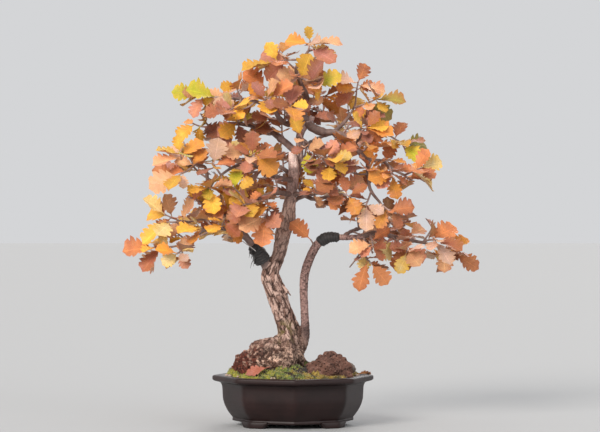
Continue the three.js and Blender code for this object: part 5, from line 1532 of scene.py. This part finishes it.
before, named = leaf_total(), len(twigs)
for branch, points in WOOD.items():
    if branch in NO_SHOOTS:
        continue
    marks = marks_along(points, SIDE["step"], SIDE["first"] * (len(points) - 1))
    line, ways = line_at(points, marks)
    for k, (base, along) in enumerate(zip(line, ways)):
        length = mixed(*SIDE["length"], (k * GOLDEN) % 1)
        twig = side_twig(base, along, k * SPIRAL, length)
        if twig is None:
            continue
        name = spray_names[int(((spray_tips - twig[-1]) ** 2).sum(1).argmin())]
        twigs[f"{branch} {k}"] = twig
        take_wood(name, np.c_[twig, np.full(len(twig), SIDE["radius"])])
        fill(name, twig, SIDE["bare"], *SIDE["leaves"])
print("leaves on side shoots:", leaf_total() - before, "side shoots:", len(twigs) - named)


# %% Spray pieces
def leaf_piece(name, parts, node):
    """A piece of leaves, each (points, faces, colours) of one blade."""
    uv = np.tile(LEAF_UV, (len(parts), 1))
    return new_piece(name, together(parts), LEAF, [node], LEAF_CREASE, uv)


for name, leaves in grown.items():
    leaf_piece(name + "_leaves", [(*blade(leaf), leaf_tones(*tone)) for *tone, leaf in leaves], name)


# %% Twigs and buds
def bud(base, along, size):
    """A pointed egg at a leaf's foot: rings whose radius is a sine that leans to its base."""
    t = np.linspace(0.08, 0.94, 4)
    rows = np.c_[base + (t * 2.6 * size)[:, None] * along, size * np.sin(np.pi * t**0.75)]
    return tube(rows, 9, 5, tip=0.6)


stems = []
for twig in twigs.values():
    rows = np.c_[twig, np.linspace(*TWIG_RADIUS, len(twig))]
    stems.append(tube(rows, 4, 8, branch_swelling(0.3, len(stems))))
    stems.append(bud(*on_twig(twig, 1), 1.7))
for leaves in grown.values():
    stems += [bud(leaf["base"], unit(leaf["along"] + 0.8 * leaf["face"]), 1.2) for _, _, leaf in leaves]
new_piece("twigs", together([(p, f, twig_tone(p, 7, 0.85)) for p, f in stems]), TWIG_BARK)

# %% [markdown]
# ## Moss
# Three cushions of moss cover the soil, green at the left and back and golden at the front right. Moss is
# a crowd of tiny upright plants, so the piece has two layers: a lumpy closed bed, made over angle and
# radius, and on it thousands of small pointed tufts that give its velvet edge. The bed has round clumps
# and rises to a hill at the left end, and it is worn away in the soil's two dips.

# %% Moss height and tone
MOSS_BED = {"inner": 20, "rim": 125, "thick": 6, "bump": 2.6, "worn": 6.5, "bare": 13, "clump": 3.2}
CLUMP, LEFT_HILL, HILL_HEIGHT = 8.0, (-117, -12, 15, 32), 12
MOSS_PAINTED_SHADE, MOSS_GREEN, MOSS_LIME = linear((38, 44, 18)), linear((98, 114, 32)), linear((154, 152, 44))
MOSS_GOLD, MOSS_STRAW = linear((156, 126, 34)), linear((198, 172, 76))


def moss_height(x, y):
    """Soil, plus a thickness that runs out at the rim, with crossed waves, round clumps and a hill at the
    left end. It is thinner in front of the root stock and runs out in the dips."""
    share = np.clip(corner_radius(x, y) / MOSS_BED["rim"], 0, 1)
    bumps = np.sin(x / 8 + np.sin(y / 12)) * np.cos(y / 7.5 + x / 29) + 0.5 * np.sin(x / 4.2 + y / 5)
    swell = np.sqrt(np.maximum(0, 1 - share**6))
    spot = np.stack([x, y, 0 * x], -1)
    near, _, _ = seed_cells(spot / CLUMP, seed=81)
    hill = HILL_HEIGHT * bell(x, y, *LEFT_HILL)
    cushion = MOSS_BED["clump"] * (1 - near) + 0.5 * noise(spot / 1.6, seed=83) + hill - 0.8
    worn = MOSS_BED["worn"] * ramp(-y, 30, 55) * (1 - ramp(x, 30, 60)) + MOSS_BED["bare"] * hollow(x, y)
    return mound(x, y) + 1.2 + swell * (MOSS_BED["thick"] - worn + MOSS_BED["bump"] * bumps + cushion - 1)


def moss_tone(x, y, fine):
    """Green to lime at the left, green in the middle, gold at the right, broken up by noise, with painted
    shade of deep green between the clumps and at low fine values.
    """
    spot = np.stack([x, y, 0 * x], -1)
    golden = ramp(x + 60 * (layered(spot / 15.0, seed=91) - 0.5) * 2, 6, 40) * (1 - ramp(y, 10, 60))
    limey = ramp(-x + 90 * (layered(spot / 9.0, seed=93) - 0.5) * 2, 14, 56)
    tone = painted(limey, MOSS_GREEN, MOSS_LIME)
    tone = painted(golden, tone, MOSS_GOLD)
    tone = painted(ramp(fine, 0.55, 0.95) * 0.6, tone, MOSS_STRAW)
    near, _, _ = seed_cells(spot / CLUMP, seed=81)
    # Painted shade: deep green between the clumps and where the fine value is low, as at the feet of the
    # tufts.
    between = np.maximum(ramp(fine, 0.5, 0.05) * 0.7, ramp(near, 0.5, 0.85) * 0.8)
    return painted(between, tone, MOSS_PAINTED_SHADE)


# %% Moss bed and tufts
PATCHES = {"moss_gold": (-83, 13), "moss_front": (-173, -83), "moss_back": (13, 187)}
ROWS_PER_DEGREE, RINGS, MOSS_DEPTH, TUFTS_PER_DEGREE = 1.3, 90, 5.0, 26


def moss_bed(span):
    """A closed cushion over a sector: its top is at the moss's height, and its under side in the soil."""
    rows = np.radians(np.linspace(*span, int((span[1] - span[0]) * ROWS_PER_DEGREE)))[:, None]
    columns = np.linspace(MOSS_BED["inner"], MOSS_BED["rim"], RINGS)
    top = polar(columns * octagon_share(rows), rows, 0.0)
    top[..., 2] = moss_height(top[..., 0].ravel(), top[..., 1].ravel()).reshape(top.shape[:2])
    top = top[::-1]
    points, faces = lens_skin(top, top - [0, 0, MOSS_DEPTH])
    fine = noise(points / 2.2, seed=95)
    return points, faces, moss_tone(points[:, 0], points[:, 1], fine)


def moss_tufts(span, count, seed):
    """Small four-sided spikes: places drawn evenly over the sector, each leaning a little at random."""
    draw = np.random.default_rng(seed)
    angle = np.radians(draw.uniform(*span, count))
    share = np.sqrt(draw.uniform((MOSS_BED["inner"] / MOSS_BED["rim"]) ** 2, 1, count))
    foot_at = polar(share * MOSS_BED["rim"] * octagon_share(angle), angle, 0.0)
    foot_at[:, 2] = moss_height(foot_at[:, 0], foot_at[:, 1]) - 0.5
    tall, wide = draw.uniform(1.6, 3.6, count), draw.uniform(0.5, 1.0, count)
    lean = np.c_[draw.normal(0, 0.35, (count, 2)), np.ones(count)]
    turn = draw.uniform(0, 2 * np.pi, count)[:, None] + np.arange(4) * np.pi / 2
    ring = polar(wide[:, None], turn, 0.0)
    low = foot_at[:, None] + ring
    belly = foot_at[:, None] + 1.25 * ring + (0.45 * tall[:, None] * lean)[:, None]
    tip = foot_at + tall[:, None] * lean
    points = np.concatenate([low, belly, tip[:, None]], 1).reshape(-1, 3)
    k = np.arange(4)
    n = (k + 1) % 4
    sides, caps = np.stack([k, n, n + 4, k + 4], -1), np.stack([k + 4, n + 4, 0 * k + 8, 0 * k - 1], -1)
    one = np.vstack([sides, caps, [[3, 2, 1, 0]]])
    faces = (one[None] + 9 * np.arange(count)[:, None, None] * (one >= 0)).reshape(-1, 4)
    fine = np.repeat(draw.uniform(0, 1, count), 9) * 0.6 + np.tile([0] * 4 + [0.25] * 4 + [0.4], count)
    return points, faces, moss_tone(points[:, 0], points[:, 1], fine)


for seed, (name, span) in enumerate(PATCHES.items()):
    count = int((span[1] - span[0]) * TUFTS_PER_DEGREE)
    bed = together([moss_bed(span), moss_tufts(span, count, seed)])
    new_piece(name + "_cushion", bed, MOSS, [name])

# %% [markdown]
# ## Stones
# The large stone at the right of the trunk is porous and purple-brown, like lava: a rough ball with many
# small pits, each a seed cell pressed in near its seed. A small grey stone lies behind it, and a few pale
# pebbles near the rim.

# %% Lava rock, stone and pebbles
LAVA_PAINTED_SHADE, LAVA_PURPLE, LAVA_PALE = linear((34, 22, 20)), linear((114, 80, 68)), linear((164, 132, 118))
STONE_DARK, STONE_PALE = linear((60, 46, 42)), linear((150, 130, 118))
ROCK = {"centre": (68.4, -53.5, 103.7), "half": (40.3, 25.5, 30), "turn": 0.2, "rough": 0.28}
SMALL_STONE = {"centre": (104, -17, 103), "half": (11, 9, 12), "turn": 0.5, "rough": 0.16}
PITS = [
    {"cell": 5.0, "seed": 103, "deep": 2.6, "flat": 0.16, "none": 0.25},
    {"cell": 3.2, "seed": 107, "deep": 1.6, "flat": 0.12, "none": 0.45},
]
PIT_EDGE = 0.42


def pitted(points):
    """Height added to the lava: broad knobs, less a hollow near each seed of two sizes of cells, of which
    some have none."""
    height = 2.2 * (layered(points / 12.0, seed=101) - 0.5)
    for pit in PITS:
        near, _, tag = seed_cells(points / pit["cell"], pit["seed"])
        height = height - pit["deep"] * ramp(near, PIT_EDGE, pit["flat"]) * (tag > pit["none"])
    return height


def lava_tone(points, relief):
    """Purple, with painted shade that darkens the pits and other low places, and pale specks."""
    speckle = noise(points / 1.4, seed=109)
    # Painted shade: the lower the relief, the darker the stone, most of all in the pits.
    tone = painted(ramp(relief, -1.7, 0.5), LAVA_PAINTED_SHADE, LAVA_PURPLE)
    return painted(ramp(speckle, 0.66, 0.95) * 0.7, tone, LAVA_PALE)


p, f = boulder(**ROCK, rows=190, columns=300, relief=pitted)
local = (p - ROCK["centre"]) @ about_z(-ROCK["turn"])
new_piece("lava_rock", (p, f, lava_tone(local, pitted(local))), LAVA, ["rock"])


def stone_tone(points, seed):
    """Grey in dark and pale clouds."""
    return painted(layered(points / 4.0, seed) * 1.5 - 0.25, STONE_DARK, STONE_PALE)


p, f = boulder(**SMALL_STONE, rows=40, columns=60)
new_piece("grey_stone", (p, f, stone_tone(p, 5)), GRAVEL, ["stone_small"])

# A pebble is its place in x and y and its size.
PEBBLES = [
    (103, -57, 3.2), (108, -52, 2.4), (116, -31, 3.2), (97, -66, 2.2), (120, -20, 2.2), (-121, -26, 3.6),
    (-115, -38, 3.0), (-38, -108, 2.2), (-33, -110, 1.8), (-100, -60, 2.0),
]
LIP = 92.5
pebbles = []
for k, (x, y, size) in enumerate(PEBBLES):
    z = max(moss_height(np.array([x]), np.array([y]))[0] + 0.45 * size, LIP)
    p, f = boulder((x, y, z), (size * 1.2, size, size * 0.8), 8, 12, 0.2, turn=k)
    pebbles.append((p, f, mixed(stone_tone(p, k), STONE_PALE * 2.2, 0.6)))
new_piece("pebbles", together(pebbles), GRAVEL)

# %% [markdown]
# ## Fallen leaves
# Two leaves have come down, one on the moss at the left of the root and one on the rim at the right. They
# are the same blades, laid flat, and each is let down to the height of the node that it replaces.

# %% Fallen leaves
# A fallen leaf is its base, its direction, where it faces, its length, its width and its tone.
FALLEN = {
    "fallen_leaf_left": ([-42, -80, 128], [-0.95, -0.05, -0.22], [-0.1, -0.5, 0.86], 46, 24, "F"),
    "fallen_leaf_right": ([118, 4, 100], [0.85, 0.4, 0.1], [-0.1, 0, 1], 28, 14, "O"),
}
for name, (base, along, face, length, width, letter) in FALLEN.items():
    leaf = leaf_at(length, np.array(base, float), unit(np.array(along)), np.array(face, float), length, width)
    points, faces = blade(leaf)
    low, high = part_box(name)
    middle = ((low.z + high.z) / 2 - AXIS[2]) / MM
    points[:, 2] += middle - (points[:, 2].min() + points[:, 2].max()) / 2
    leaf_piece(name + "_blade", [(points, faces, leaf_tones(letter, length))], name)

# %% [markdown]
# ## Floor and light
# A plain pale floor runs to the horizon, and the sky is nearly as pale. The lamps are far away, so that
# they light the whole floor alike, and broad, so that shadows are soft: the main one at the upper left
# of the camera, a weaker one at the right, and one behind the tree that lights its edges.

# %% Floor and lamps
FLOOR, PALE_FLOOR = 30.0, (0.45, 0.45, 0.45, 1)
corners = FLOOR * np.array([[-1, -1, 0], [1, -1, 0], [1, 1, 0], [-1, 1, 0]])
floor = plain_object("floor", corners, np.array([[0, 1, 2, 3]]))
pale, shader = new_material("pale_floor")
shader.inputs["Base Color"].default_value = PALE_FLOOR
shader.inputs["Roughness"].default_value = 0.9
floor.data.materials.append(pale)
SKY, SKY_STRENGTH = (0.94, 0.95, 0.97, 1), 0.7
sky = bpy.data.worlds.new("studio")
sky.use_nodes = True
background = sky.node_tree.nodes["Background"]
background.inputs["Color"].default_value = SKY
background.inputs["Strength"].default_value = SKY_STRENGTH
bpy.context.scene.world = sky


def lamp(name, place, strength, breadth, colour=(1, 1, 1)):
    """A broad lamp far away in the direction of a place; breadth is its angle in degrees."""
    light = bpy.data.lights.new(name, "SUN")
    light.energy, light.angle, light.color = strength, math.radians(breadth), colour
    stand = linked(name, light)
    stand.location = place
    stand.rotation_euler = Vector(place).to_track_quat("Z", "Y").to_euler()


lamp("key", (-1.5, -2.5, 1.5), 2.65, 26, (1, 0.96, 0.91))
lamp("fill", (1.9, -1.9, 0.8), 0.6, 40, (0.94, 0.97, 1))
lamp("rim", (0.6, 2.2, 1.6), 1.0, 30)
bpy.context.scene.view_settings.view_transform = "Standard"
print("lamps:", len(bpy.data.lights), "floor half", FLOOR, "m wide")
